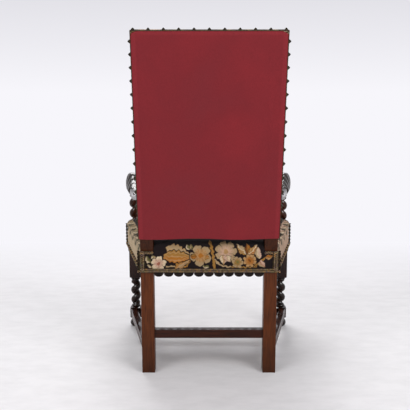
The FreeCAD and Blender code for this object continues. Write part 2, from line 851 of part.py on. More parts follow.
build_frame()
build_seat_cover()
build_seat_galon()
build_scallops()
build_seat_pad()
build_seat_base()
pad_rear = build_back_base()
build_back_pad(pad_rear)
nail_seat_x, nail_seat_z, nail_line_y = build_back_cover(pad_rear)
build_nails(nail_seat_x, nail_seat_z, nail_line_y)

# The origin goes under the middle of the whole chair, on the floor.
bounds = Part.makeCompound(list(parts.values())).optimalBoundingBox(False)
shift = point(0, -(bounds.YMin + bounds.YMax) / 2, 0)
os.makedirs("parts", exist_ok=True)
for name, shape in parts.items():
    shape.translate(shift)
    shape.exportStep(os.path.join("parts", name + ".step"))
print("size", bounds.XLength, bounds.YLength, bounds.ZLength, "moved back by", shift.y)
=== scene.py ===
import math

import bpy
import numpy as np
from mathutils import Matrix, Vector


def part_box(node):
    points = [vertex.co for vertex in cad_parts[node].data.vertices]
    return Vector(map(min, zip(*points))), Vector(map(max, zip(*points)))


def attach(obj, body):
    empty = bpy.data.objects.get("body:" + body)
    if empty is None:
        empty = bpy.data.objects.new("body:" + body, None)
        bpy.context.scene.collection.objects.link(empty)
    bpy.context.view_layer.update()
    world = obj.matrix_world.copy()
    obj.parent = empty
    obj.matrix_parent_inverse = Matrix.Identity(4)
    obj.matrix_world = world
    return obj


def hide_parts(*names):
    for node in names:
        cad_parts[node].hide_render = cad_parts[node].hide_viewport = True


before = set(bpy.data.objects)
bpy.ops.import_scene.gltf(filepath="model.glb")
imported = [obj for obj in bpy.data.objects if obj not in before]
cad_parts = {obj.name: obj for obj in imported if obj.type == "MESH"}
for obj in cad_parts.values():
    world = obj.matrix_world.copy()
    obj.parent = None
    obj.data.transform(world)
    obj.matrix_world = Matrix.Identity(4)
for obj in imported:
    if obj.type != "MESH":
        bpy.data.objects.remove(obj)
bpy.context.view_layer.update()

bl_info = {
    "name": "High-back armchair dressing",
    "version": (1, 0, 0),
    "blender": (4, 5, 0),
    "location": "View3D > Sidebar > Armchair",
    "description": "Upholsters and finishes a high-back armchair with barley-twist posts",
    "category": "Object",
}

# Settings

SCREEN_TOP = 255
SCREEN_KNEE = 0.04045
SCREEN_SLOPE = 12.92
SCREEN_LIFT = 0.055
SCREEN_POWER = 2.4


def linear(channel):
    """One screen colour channel, from 0 to 255, as light."""
    share = channel / SCREEN_TOP
    if share <= SCREEN_KNEE:
        return share / SCREEN_SLOPE
    return ((share + SCREEN_LIFT) / (1 + SCREEN_LIFT)) ** SCREEN_POWER


def number(name, description, default, **limits):
    return bpy.props.FloatProperty(name=name, description=description, default=default, **limits)


def length(name, description, default):
    return number(name, description, default, unit="LENGTH")


def power(name, description, default):
    return number(name, description, default, min=0.0, unit="POWER")


def angle(name, description, degrees):
    return number(name, description, math.radians(degrees), subtype="ANGLE")


def colour(name, description, red, green, blue):
    default = (linear(red), linear(green), linear(blue))
    return bpy.props.FloatVectorProperty(name=name, description=description, default=default,
                                         subtype="COLOR", size=3, min=0.0, max=1.0)


class ArmchairStage(bpy.types.PropertyGroup):
    """Camera, floor and lamps."""

    lens: number("Lens", "Focal length on a 36 mm sensor", 56.2, unit="CAMERA")
    camera_side: length("Camera side", "Distance of the camera to the chair's left", 0.0137)
    camera_behind: length("Camera distance", "Distance of the camera behind the chair's middle", 2.372)
    camera_height: length("Camera height", "Height of the camera over the floor", 0.998)
    camera_pitch: angle("Camera pitch", "How far the camera looks down", 10.0)
    floor_colour: colour("Floor", "Colour of the studio floor", 236, 234, 236)
    wall_colour: colour("Wall", "Colour of the studio wall behind the chair", 247, 246, 251)
    wall_top_colour: colour("Wall top", "Colour of the studio wall high up", 226, 225, 231)
    sky_light: number("Room light", "Strength of the even room light", 0.50, min=0.0)
    left_power: power("Left lamp", "Power of the soft box behind, at the left", 42.0)
    right_power: power("Right lamp", "Power of the soft box behind, at the right", 60.0)
    front_power: power("Front lamp", "Power of the soft box before the chair", 58.0)
    lamp_size: length("Lamp size", "Width of each soft box", 1.8)


class ArmchairSizes(bpy.types.PropertyGroup):
    """Sizes of the dressed pieces."""

    post_size: length("Post size", "Thickness of the square back posts", 0.046)
    back_rake: angle("Back rake", "How far the back leans to the rear", 11.5)
    bend_height: length("Bend height", "Height of the bend in the back posts", 0.455)
    twist_width: length("Twist width", "Width over the crests of the barley twist", 0.041)
    twist_waist: length("Twist waist", "Width across the groove of the barley twist", 0.017)
    twist_pitch: length("Twist pitch", "Rise of the barley twist in one turn", 0.0435)
    nail_width: length("Nail width", "Width of a pointed nail head", 0.013)
    nail_height: length("Nail height", "Height of a pointed nail head", 0.008)
    cloth_grid: length("Cloth grid", "Spacing of the back cloth's mesh", 0.006)


class ArmchairColours(bpy.types.PropertyGroup):
    """Finishes of the dressed pieces."""

    red_cloth: colour("Back cloth", "Plain red cloth behind the back", 126, 40, 46)
    red_walnut: colour("Red walnut", "Light grain of the back posts", 95, 46, 16)
    red_walnut_dark: colour("Red walnut, dark", "Dark grain of the back posts", 70, 32, 11)
    dark_walnut: colour("Dark walnut", "Light grain of the front posts and stretchers", 62, 27, 13)
    arm_walnut: colour("Arm walnut", "Light grain of the carved arms", 44, 25, 17)
    dark_walnut_deep: colour("Dark walnut, deep", "Dark grain of the arms and front posts", 24, 14, 10)
    iron: colour("Nail heads", "Dark metal of the nail heads", 70, 60, 46)


def sizes():
    return bpy.context.scene.armchair_sizes


def shade(name):
    """One of the finish colours."""
    return tuple(getattr(bpy.context.scene.armchair_colours, name))


# Modelling helpers

TINY = 1e-6
RELIEF_DIGITS = 2


def object_mode():
    bpy.ops.object.mode_set(mode="OBJECT")


def edit_mode():
    bpy.ops.object.mode_set(mode="EDIT")


def edit_all():
    """Enters edit mode with the whole mesh selected."""
    edit_mode()
    bpy.ops.mesh.select_all(action="SELECT")


def pick_none():
    if bpy.context.object and bpy.context.object.mode != "OBJECT":
        object_mode()
    bpy.ops.object.select_all(action="DESELECT")


def pick(*objects):
    """Selects only these objects, the first one active."""
    pick_none()
    for chosen in objects:
        chosen.select_set(True)
    bpy.context.view_layer.objects.active = objects[0]


def added(name):
    """The object that the last operator made, under a name."""
    made = bpy.context.object
    made.name = name
    return made


def join(objects, name):
    pick(*objects)
    if len(objects) > 1:
        bpy.ops.object.join()
    return added(name)


def link(piece):
    bpy.context.scene.collection.objects.link(piece)


def copy_of(piece, name):
    """Copy of a piece with a mesh of its own."""
    twin = piece.copy()
    twin.data = piece.data.copy()
    twin.name = name
    link(twin)
    return twin


def apply_modifier(piece, kind, **settings):
    """Adds a modifier with its settings and applies it at once."""
    pick(piece)
    modifier = piece.modifiers.new(kind.lower(), kind)
    for key, value in settings.items():
        setattr(modifier, key, value)
    bpy.ops.object.modifier_apply(modifier=modifier.name)


def bevel(piece, width, segments):
    apply_modifier(piece, "BEVEL", width=width, segments=segments, limit_method="ANGLE")


def freeze(piece):
    """Puts the piece's place, turn and scale into its mesh."""
    pick(piece)
    bpy.ops.object.transform_apply(location=True, rotation=True, scale=True)


def moved_to(piece, matrix):
    piece.matrix_world = matrix
    freeze(piece)
    return piece


def turned(angle_by, axis):
    return Matrix.Rotation(angle_by, 4, axis)


def merge(piece, distance):
    """Enters edit mode and merges the points that lie closer than a distance."""
    pick(piece)
    edit_all()
    bpy.ops.mesh.remove_doubles(threshold=distance)


def outward(piece, merged=True):
    """Merges doubles, unless told not to, and turns every face outwards."""
    pick(piece)
    edit_all()
    if merged:
        bpy.ops.mesh.remove_doubles(threshold=TINY)
    bpy.ops.mesh.normals_make_consistent(inside=False)
    object_mode()


def smooth(piece, degrees):
    pick(piece)
    bpy.ops.object.shade_smooth_by_angle(angle=math.radians(degrees))


def mirrored(piece, name, merged=True):
    """Mirror image of a piece across the chair's middle."""
    twin = copy_of(piece, name)
    twin.scale.x = -1
    freeze(twin)
    outward(twin, merged)
    return twin


def settle(piece, material, slot, *replaced):
    """Gives a finished piece its finish and ties it to the chair."""
    freeze(piece)
    piece.data.name = piece.name
    piece.data.materials.clear()
    piece.data.materials.append(material)
    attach(piece, "root")
    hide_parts(*replaced)
    return piece


def settle_all(pieces, material, slot, degrees):
    """Smooths finished pieces and settles each in the place of its node."""
    for node, piece in pieces.items():
        smooth(piece, degrees)
        settle(piece, material, slot, node)


def remove(*pieces):
    for piece in pieces:
        bpy.data.objects.remove(piece)


def clipped(share):
    return np.clip(share, 0.0, 1.0)


def vectors_of(source, key):
    flat = np.zeros(len(source) * 3)
    source.foreach_get(key, flat)
    return flat.reshape(-1, 3)


def normals_of(piece):
    return vectors_of(piece.data.vertex_normals, "vector")


def points_of(piece):
    return vectors_of(piece.data.vertices, "co")


def place_points(piece, points):
    piece.data.vertices.foreach_set("co", points.ravel())
    piece.data.update()


def place_columns(piece, *columns):
    """Places the vertices from their X, Y and Z columns."""
    place_points(piece, np.stack(columns, axis=1))


def colour_points(piece, name, tints):
    """Keeps four colour channels for every vertex."""
    layer = piece.data.color_attributes.new(name, "FLOAT_COLOR", "POINT")
    layer.data.foreach_set("color", tints.astype(np.float32).ravel())


def select_faces(piece, wanted):
    """Enters edit mode with only the faces selected that pass a test."""
    pick(piece)
    edit_mode()
    bpy.ops.mesh.select_mode(type="FACE")
    bpy.ops.mesh.select_all(action="DESELECT")
    object_mode()
    for face in piece.data.polygons:
        face.select = wanted(face)
    edit_mode()


def disc(name, sides, radius=1.0, **placing):
    """Filled circle to extrude from."""
    pick_none()
    bpy.ops.mesh.primitive_circle_add(vertices=sides, radius=radius, fill_type="NGON", **placing)
    made = added(name)
    freeze(made)
    return made


def grid(name, columns, rows):
    """Flat unit square, divided into columns and rows."""
    pick_none()
    bpy.ops.mesh.primitive_grid_add(x_subdivisions=columns, y_subdivisions=rows, size=1.0)
    return added(name)


def ball(name, sides, rings, scale, **placing):
    """Ball drawn out along its own axes."""
    pick_none()
    bpy.ops.mesh.primitive_uv_sphere_add(segments=sides, ring_count=rings, **placing)
    made = added(name)
    made.scale = scale
    freeze(made)
    return made


def brick(name, middle, size):
    pick_none()
    bpy.ops.mesh.primitive_cube_add(size=1.0, location=middle)
    made = added(name)
    made.scale = size
    freeze(made)
    return made


def up(rise):
    return Vector((0.0, 0.0, rise))


def extrude(step):
    bpy.ops.mesh.extrude_region_move(TRANSFORM_OT_translate={"value": step})


def extrude_ring(rise, growth=1.0, centre=None):
    """Extrudes the selected ring upwards, then scales it about its new centre."""
    extrude(up(rise))
    if abs(growth - 1.0) > TINY:
        bpy.ops.transform.resize(value=(growth, growth, 1.0), center_override=centre)


def lathe(name, sides, rings, axis):
    """Solid turned about an upright axis, through rings of a radius and a height."""
    radius, z = rings[0]
    made = disc(name, sides, radius, location=axis + up(z))
    edit_all()
    for (radius, z), (next_radius, next_z) in zip(rings, rings[1:]):
        extrude_ring(next_z - z, next_radius / radius, axis + up(next_z))
    object_mode()
    return made


def straight_bar(name, sides, rings, squareness):
    """Bar of unit length along Z and unit half width, its section between round and square."""
    bar = disc(name, sides)
    points = points_of(bar)
    points[:, :2] = np.sign(points[:, :2]) * np.abs(points[:, :2]) ** (1.0 / squareness)
    place_points(bar, points)
    edit_all()
    for ring in range(rings):
        extrude_ring(1.0 / rings)
    object_mode()
    return bar


def raise_relief(piece, heights, distance):
    """Lifts each vertex along its normal by its own share of a distance."""
    group = piece.vertex_groups.new(name="relief")
    levels = clipped(np.round(heights, RELIEF_DIGITS))
    for level in np.unique(levels):
        if level > 0.0:
            chosen = np.nonzero(levels == level)[0].tolist()
            group.add(chosen, float(level), "REPLACE")
    apply_modifier(piece, "DISPLACE", vertex_group="relief", strength=distance, mid_level=0.0)
    piece.vertex_groups.clear()


def path_curve(name, places):
    """Straight-sided path through the places, for trim to follow."""
    data = bpy.data.curves.new(name, "CURVE")
    data.dimensions = "3D"
    data.twist_mode = "Z_UP"
    spline = data.splines.new("POLY")
    spline.points.add(len(places) - 1)
    for point, place in zip(spline.points, places):
        point.co = (*place, 1.0)
    path = bpy.data.objects.new(name, data)
    link(path)
    return path


def repeat(strip, count, total):
    """Repeats a trim unit along X over a length."""
    apply_modifier(strip, "ARRAY", count=count, use_relative_offset=False, use_constant_offset=True,
                   constant_offset_displace=(total / count, 0.0, 0.0))


def straight_run(unit, total, pitch, name):
    """Repeats a trim unit along X, stretched a little so that a whole number of repeats fits."""
    count = max(1, round(total / pitch))
    strip = copy_of(unit, name)
    strip.scale.x = total / (count * pitch)
    freeze(strip)
    repeat(strip, count, total)
    return strip


def run_along(unit, places, pitch, name):
    """Repeats a trim unit along a path, its outer side to the left of the run."""
    path = path_curve("trim_path", places)
    total = sum((b - a).length for a, b in zip(places, places[1:]))
    trim = straight_run(unit, total, pitch, name)
    apply_modifier(trim, "CURVE", object=path, deform_axis="POS_X")
    remove(path)
    return trim


def front_axis():
    """Foot of the front left post's axis."""
    low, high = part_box("front_post_left")
    return Vector(((low.x + high.x) / 2, (low.y + high.y) / 2, 0.0))


def seat_plan(offset):
    """Corners of the seat in plan on the left, from the rear to the front, moved outwards."""
    post_low, post_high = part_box("back_post_left")
    axis = front_axis()
    half = ARMCHAIR_OT_front_posts.block_half
    rear = post_low.y + sizes().post_size
    kink = post_low.y
    outer = axis.x + half
    splay = Vector((outer - post_high.x, axis.y + half - kink)).normalized()
    slip = offset * (1.0 - abs(splay.y)) / max(splay.x, TINY)
    return [Vector((post_high.x + offset, rear + offset, 0.0)),
            Vector((post_high.x + offset, kink + slip, 0.0)),
            Vector((outer + offset, axis.y + half + slip, 0.0)),
            Vector((outer + offset, axis.y - half - offset, 0.0))]


def raised(places, z):
    return [Vector((place.x, place.y, z)) for place in places]


def bend_depth():
    """Depth of the rear faces of the back posts at their bend."""
    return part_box("back_post_left")[0].y + sizes().post_size


def lean():
    """Sine and cosine of the back's rake."""
    return math.sin(sizes().back_rake), math.cos(sizes().back_rake)


def on_back(slope, out):
    """Depth and height on the leaning back: up the slope from the bend, and out behind its rear face."""
    sine, cosine = lean()
    return bend_depth() + slope * sine + out * cosine, sizes().bend_height + slope * cosine - out * sine


def from_back(y, z):
    """Way up the slope of the back, and out behind its rear face, for every point."""
    sine, cosine = lean()
    y = y - bend_depth()
    z = z - sizes().bend_height
    return y * sine + z * cosine, y * cosine - z * sine


# Finishes

CLOTH_SHINE = 0.12
SHADE_HEIGHT_REACH = 0.5
ACROSS, FORWARD, UPRIGHT = range(3)


def new_material(name):
    material = bpy.data.materials.new(name)
    material.use_nodes = True
    tree = material.node_tree
    return material, tree, tree.nodes["Principled BSDF"]


def wire(source, target):
    """Links two sockets of one node tree."""
    source.id_data.links.new(source, target)


def colour_shader(shader, tone):
    """Gives a shader its base colour."""
    wire(tone, shader.inputs["Base Color"])


def set_values(node, values):
    """Sets constants on a node's own sockets."""
    for key, value in values.items():
        node.inputs[key].default_value = value


def add_node(tree, kind, values=(), **settings):
    made = tree.nodes.new(kind)
    for key, value in settings.items():
        setattr(made, key, value)
    set_values(made, dict(values))
    return made


def placed(tree, kind, place, values=(), **settings):
    """Outputs of a node that works on a place."""
    made = add_node(tree, kind, values, **settings)
    wire(place, made.inputs["Vector"])
    return made.outputs


def object_place(tree, scale=(1.0, 1.0, 1.0)):
    """Object coordinates, scaled."""
    where = add_node(tree, "ShaderNodeTexCoord").outputs["Object"]
    return placed(tree, "ShaderNodeMapping", where, {"Scale": scale})["Vector"]


def drawn_out(along, across_scale, along_scale):
    """Scale of a pattern that is drawn out along one axis."""
    scale = [across_scale] * 3
    scale[along] = along_scale
    return scale


def noise_of(tree, place, scale, detail, roughness):
    values = {"Scale": scale, "Detail": detail, "Roughness": roughness}
    return placed(tree, "ShaderNodeTexNoise", place, values)["Fac"]


def wave_of(tree, place, bands, scale, distortion=0.0, detail=2.0):
    values = {"Scale": scale, "Distortion": distortion, "Detail": detail}
    return placed(tree, "ShaderNodeTexWave", place, values, bands_direction=bands)["Fac"]


def maths(tree, operation, *values):
    """Result of a maths node on one or two sockets."""
    made = add_node(tree, "ShaderNodeMath", operation=operation)
    for index, value in enumerate(values):
        wire(value, made.inputs[index])
    return made.outputs["Value"]


def axes_of(tree, vector):
    """The X, Y and Z of a vector socket."""
    return placed(tree, "ShaderNodeSeparateXYZ", vector)


def attribute_of(tree, name):
    """Outputs of a colour that the mesh keeps at its vertices."""
    return add_node(tree, "ShaderNodeAttribute", attribute_name=name).outputs


def ramp_of(tree, value, *stops):
    """Colour ramp through (place, colour) stops."""
    made = add_node(tree, "ShaderNodeValToRGB")
    ramp = made.color_ramp
    while len(ramp.elements) < len(stops):
        ramp.elements.new(0.5)
    for element, (place, tint) in zip(ramp.elements, stops):
        element.position = place
        element.color = (*tint, 1.0)
    wire(value, made.inputs["Fac"])
    return made.outputs["Color"]


def mix_colours(tree, share, first, second, blend_type="MIX"):
    """Mixes two colour sockets or tints by a share socket or number."""
    made = add_node(tree, "ShaderNodeMix", data_type="RGBA", blend_type=blend_type)
    for index, entry in ((0, share), (6, first), (7, second)):
        if isinstance(entry, bpy.types.NodeSocket):
            wire(entry, made.inputs[index])
        else:
            made.inputs[index].default_value = entry if index == 0 else (*entry, 1.0)
    return made.outputs[2]


def times(tree, first, second, share=1.0):
    """One colour multiplied by another."""
    return mix_colours(tree, share, first, second, "MULTIPLY")


def spread(tree, value, low, high, new_low, new_high):
    made = add_node(tree, "ShaderNodeMapRange", {"From Min": low, "From Max": high,
                                                 "To Min": new_low, "To Max": new_high})
    wire(value, made.inputs["Value"])
    return made.outputs["Result"]


def bumped(shader, height, strength, distance):
    bump = add_node(shader.id_data, "ShaderNodeBump", {"Strength": strength, "Distance": distance})
    wire(height, bump.inputs["Height"])
    wire(bump.outputs["Normal"], shader.inputs["Normal"])


def mix_shaders(tree, share, first, second, output):
    """Mixes two shaders by a share and sends the result to the tree's output."""
    both = add_node(tree, "ShaderNodeMixShader")
    for index, source in enumerate((share, first, second)):
        wire(source, both.inputs[index])
    wire(both.outputs["Shader"], tree.nodes[output].inputs["Surface"])


def grey(level):
    return (level, level, level)


def scaled(tint, *factors):
    """A colour with its channels multiplied."""
    return tuple(part * factor for part, factor in zip(tint, factors))


def wood(name, light, dark, along, shine, wax=0.06, carved=False, shade_by_height=()):
    """Walnut whose grain runs along one axis: pores, bands, rubbed patches and well waxed upper faces; where
    given, painted shade in carved grooves and a tone that changes with height.
    """
    material, tree, shader = new_material(name)
    light = shade(light)
    dark = shade(dark)
    lengthwise = object_place(tree, drawn_out(along, across_scale=14.0, along_scale=1.1))
    fine = object_place(tree, drawn_out(along, across_scale=420.0, along_scale=16.0))
    grain = noise_of(tree, lengthwise, scale=3.0, detail=6.0, roughness=0.62)
    pores = noise_of(tree, fine, scale=1.0, detail=2.0, roughness=0.5)
    patches = noise_of(tree, object_place(tree), scale=9.0, detail=3.0, roughness=0.5)
    body = ramp_of(tree, grain, (0.30, dark), (0.55, light), (0.72, dark))
    worn = mix_colours(tree, spread(tree, patches, 0.42, 0.72, 0.0, 0.55), body, light)
    pored = ramp_of(tree, pores, (0.36, grey(0.35)), (0.50, grey(1.0)))
    tone = times(tree, worn, pored, share=0.8)
    polish = spread(tree, patches, 0.3, 0.7, shine + 0.10, shine - 0.06)
    if carved:
        # Painted shade in the carving: its grooves are darkened, and left rougher
        hollow = attribute_of(tree, "carving")["Fac"]
        tone = times(tree, tone, ramp_of(tree, hollow, (0.10, grey(0.12)), (0.75, grey(1.0))))
        polish = maths(tree, "ADD", polish, spread(tree, hollow, 0.1, 0.6, 0.35, 0.0))
    # Tone by height, as each piece lists it: painted shade where the back cloth's lower edge shades the back
    # posts, and darker towards the bottom
    if shade_by_height:
        height = spread(tree, axes_of(tree, object_place(tree))["Z"], 0.0, SHADE_HEIGHT_REACH, 0.0, 1.0)
        tone = times(tree, tone, ramp_of(tree, height, *[(z / SHADE_HEIGHT_REACH, grey(level)) for z, level in shade_by_height]))
    colour_shader(shader, tone)
    wire(polish, shader.inputs["Roughness"])
    facing = axes_of(tree, add_node(tree, "ShaderNodeTexCoord").outputs["Normal"])
    wire(spread(tree, facing["Z"], 0.0, 0.6, wax, 1.0), shader.inputs["Coat Weight"])
    set_values(shader, {"Specular IOR Level": 0.14, "Coat Roughness": 0.08, "Coat IOR": 1.7})
    bumped(shader, pores, strength=0.25, distance=0.0004)
    return material


# Operators


class ARMCHAIR_OT_stage(bpy.types.Operator):
    """Sets up the pale studio, its lamps and the camera behind the chair"""

    bl_idname = "armchair.stage"
    bl_label = "Stage"

    floor_size = (16.0, 9.0, 1.0)
    floor_middle = (0.0, 1.5, 0.0)
    sweep_radius = 1.6
    sweep_steps = 12
    wall_height = 4.0
    wall_blend = (-0.7, -1.8)
    wall_fade = 2.0
    room_tint = (0.97, 0.98, 1.0, 1.0)
    lamp_places = {"left": (2.4, 2.6, 2.5), "right": (-2.3, 2.5, 2.6), "front": (0.4, -1.9, 3.1)}
    lamp_aim = up(0.55)
    sensor = 36.0

    def execute(self, context):
        settings = context.scene.armchair_stage
        self.build_floor(settings)
        self.build_light(context, settings)
        self.build_camera(context, settings)
        return {"FINISHED"}

    def build_floor(self, settings):
        """Floor that sweeps up into the wall on the far side of the chair."""
        pick_none()
        bpy.ops.mesh.primitive_plane_add(size=1.0)
        sweep = added("studio_sweep")
        sweep.scale = self.floor_size
        sweep.location = self.floor_middle
        freeze(sweep)
        edit_mode()
        bpy.ops.mesh.select_all(action="DESELECT")
        object_mode()
        points = points_of(sweep)
        far = points[:, 1] < points[:, 1].min() + TINY
        for edge in sweep.data.edges:
            edge.select = all(far[index] for index in edge.vertices)
        edit_mode()
        for step in range(self.sweep_steps):
            before = step / self.sweep_steps * math.pi / 2
            after = (step + 1) / self.sweep_steps * math.pi / 2
            self.extrude_edge(-self.sweep_radius * (math.sin(after) - math.sin(before)),
                              self.sweep_radius * (math.cos(before) - math.cos(after)))
        self.extrude_edge(0.0, self.wall_height)
        outward(sweep)
        smooth(sweep, degrees=60.0)
        sweep.data.materials.append(self.floor_finish(settings))

    def extrude_edge(self, y, z):
        bpy.ops.mesh.extrude_edges_move(TRANSFORM_OT_translate={"value": (0.0, y, z)})

    def floor_finish(self, settings):
        """Pale floor that takes shadows, and a wall that shows at its own even brightness."""
        material, tree, shader = new_material("studio_floor")
        place = axes_of(tree, object_place(tree))
        scuffs = noise_of(tree, object_place(tree, (1.0, 2.2, 1.0)), scale=9.0, detail=6.0, roughness=0.65)
        faint = ramp_of(tree, scuffs, (0.34, grey(0.93)), (0.60, grey(1.0)))
        colour_shader(shader, times(tree, tuple(settings.floor_colour), faint))
        set_values(shader, {"Roughness": 0.55, "Specular IOR Level": 0.25})
        wall = tuple(settings.wall_colour)
        share_up = spread(tree, place["Z"], 0.0, self.wall_fade, 0.0, 1.0)
        fading = ramp_of(tree, share_up, (0.10, wall), (0.50, wall), (1.0, tuple(settings.wall_top_colour)))
        glow = add_node(tree, "ShaderNodeEmission")
        wire(fading, glow.inputs["Color"])
        rays = add_node(tree, "ShaderNodeLightPath").outputs
        seen = rays["Is Camera Ray"]
        for other in ("Is Glossy Ray", "Is Transmission Ray"):
            seen = maths(tree, "MAXIMUM", seen, rays[other])
        share = maths(tree, "MULTIPLY", spread(tree, place["Y"], *self.wall_blend, 0.0, 1.0), seen)
        mix_shaders(tree, share, shader.outputs["BSDF"], glow.outputs["Emission"], "Material Output")
        return material

    def build_light(self, context, settings):
        """Even room light that the camera sees as wall, and three soft boxes."""
        world = bpy.data.worlds.new("studio_room")
        world.use_nodes = True
        tree = world.node_tree
        room = tree.nodes["Background"]
        set_values(room, {"Color": self.room_tint, "Strength": settings.sky_light})
        wall = add_node(tree, "ShaderNodeBackground", {"Color": (*settings.wall_colour, 1.0)})
        rays = add_node(tree, "ShaderNodeLightPath").outputs
        mix_shaders(tree, rays["Is Camera Ray"], room.outputs["Background"], wall.outputs["Background"],
                    "World Output")
        context.scene.world = world
        for side, place in self.lamp_places.items():
            name = f"soft_box_{side}"
            lamp = bpy.data.lights.new(name, "AREA")
            lamp.energy = getattr(settings, f"{side}_power")
            lamp.shape = "RECTANGLE"
            lamp.size = settings.lamp_size
            lamp.size_y = settings.lamp_size
            holder = bpy.data.objects.new(name, lamp)
            holder.location = place
            aim = self.lamp_aim - Vector(place)
            holder.rotation_euler = aim.to_track_quat("-Z", "Y").to_euler()
            link(holder)

    def build_camera(self, context, settings):
        camera = bpy.data.cameras.new("photo_camera")
        camera.lens = settings.lens
        camera.sensor_width = self.sensor
        holder = bpy.data.objects.new("photo_camera", camera)
        holder.location = (settings.camera_side, settings.camera_behind, settings.camera_height)
        holder.rotation_euler = (math.pi / 2 - settings.camera_pitch, 0.0, math.pi)
        link(holder)
        context.scene.camera = holder
        context.scene.view_settings.view_transform = "Standard"


class ARMCHAIR_OT_woodwork(bpy.types.Operator):
    """Gives the plain bars and posts their polished walnut"""

    bl_idname = "armchair.woodwork"
    bl_label = "Woodwork"

    red = ("red_walnut", "red_walnut_dark")
    dark = ("dark_walnut", "dark_walnut_deep")
    # Back posts: darker towards the floor, and painted shade from 0.43 m up, where the back cloth's edge
    # shades them
    post_shade_by_height = ((0.0, 0.50), (0.12, 0.88), (0.26, 1.0), (0.43, 1.0), (0.465, 0.45))

    def execute(self, context):
        self.finish(wood("red_walnut_upright", *self.red, UPRIGHT, shine=0.42, shade_by_height=self.post_shade_by_height),
                    "back_post_left", "back_post_right")
        self.finish(wood("dark_walnut_across", *self.dark, ACROSS, shine=0.36),
                    "rear_stretcher", "cross_stretcher")
        self.finish(wood("dark_walnut_forward", *self.dark, FORWARD, shine=0.34),
                    "side_stretcher_left", "side_stretcher_right")
        self.finish(wood("frame_wood_across", *self.red, ACROSS, shine=0.60),
                    "rear_rail", "front_rail", "crest_rail", "lower_back_rail")
        self.finish(wood("frame_wood_forward", *self.red, FORWARD, shine=0.60),
                    "side_rail_left", "side_rail_right")
        return {"FINISHED"}

    def finish(self, material, *names):
        for name in names:
            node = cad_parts[name]
            node.data.materials.clear()
            node.data.materials.append(material)


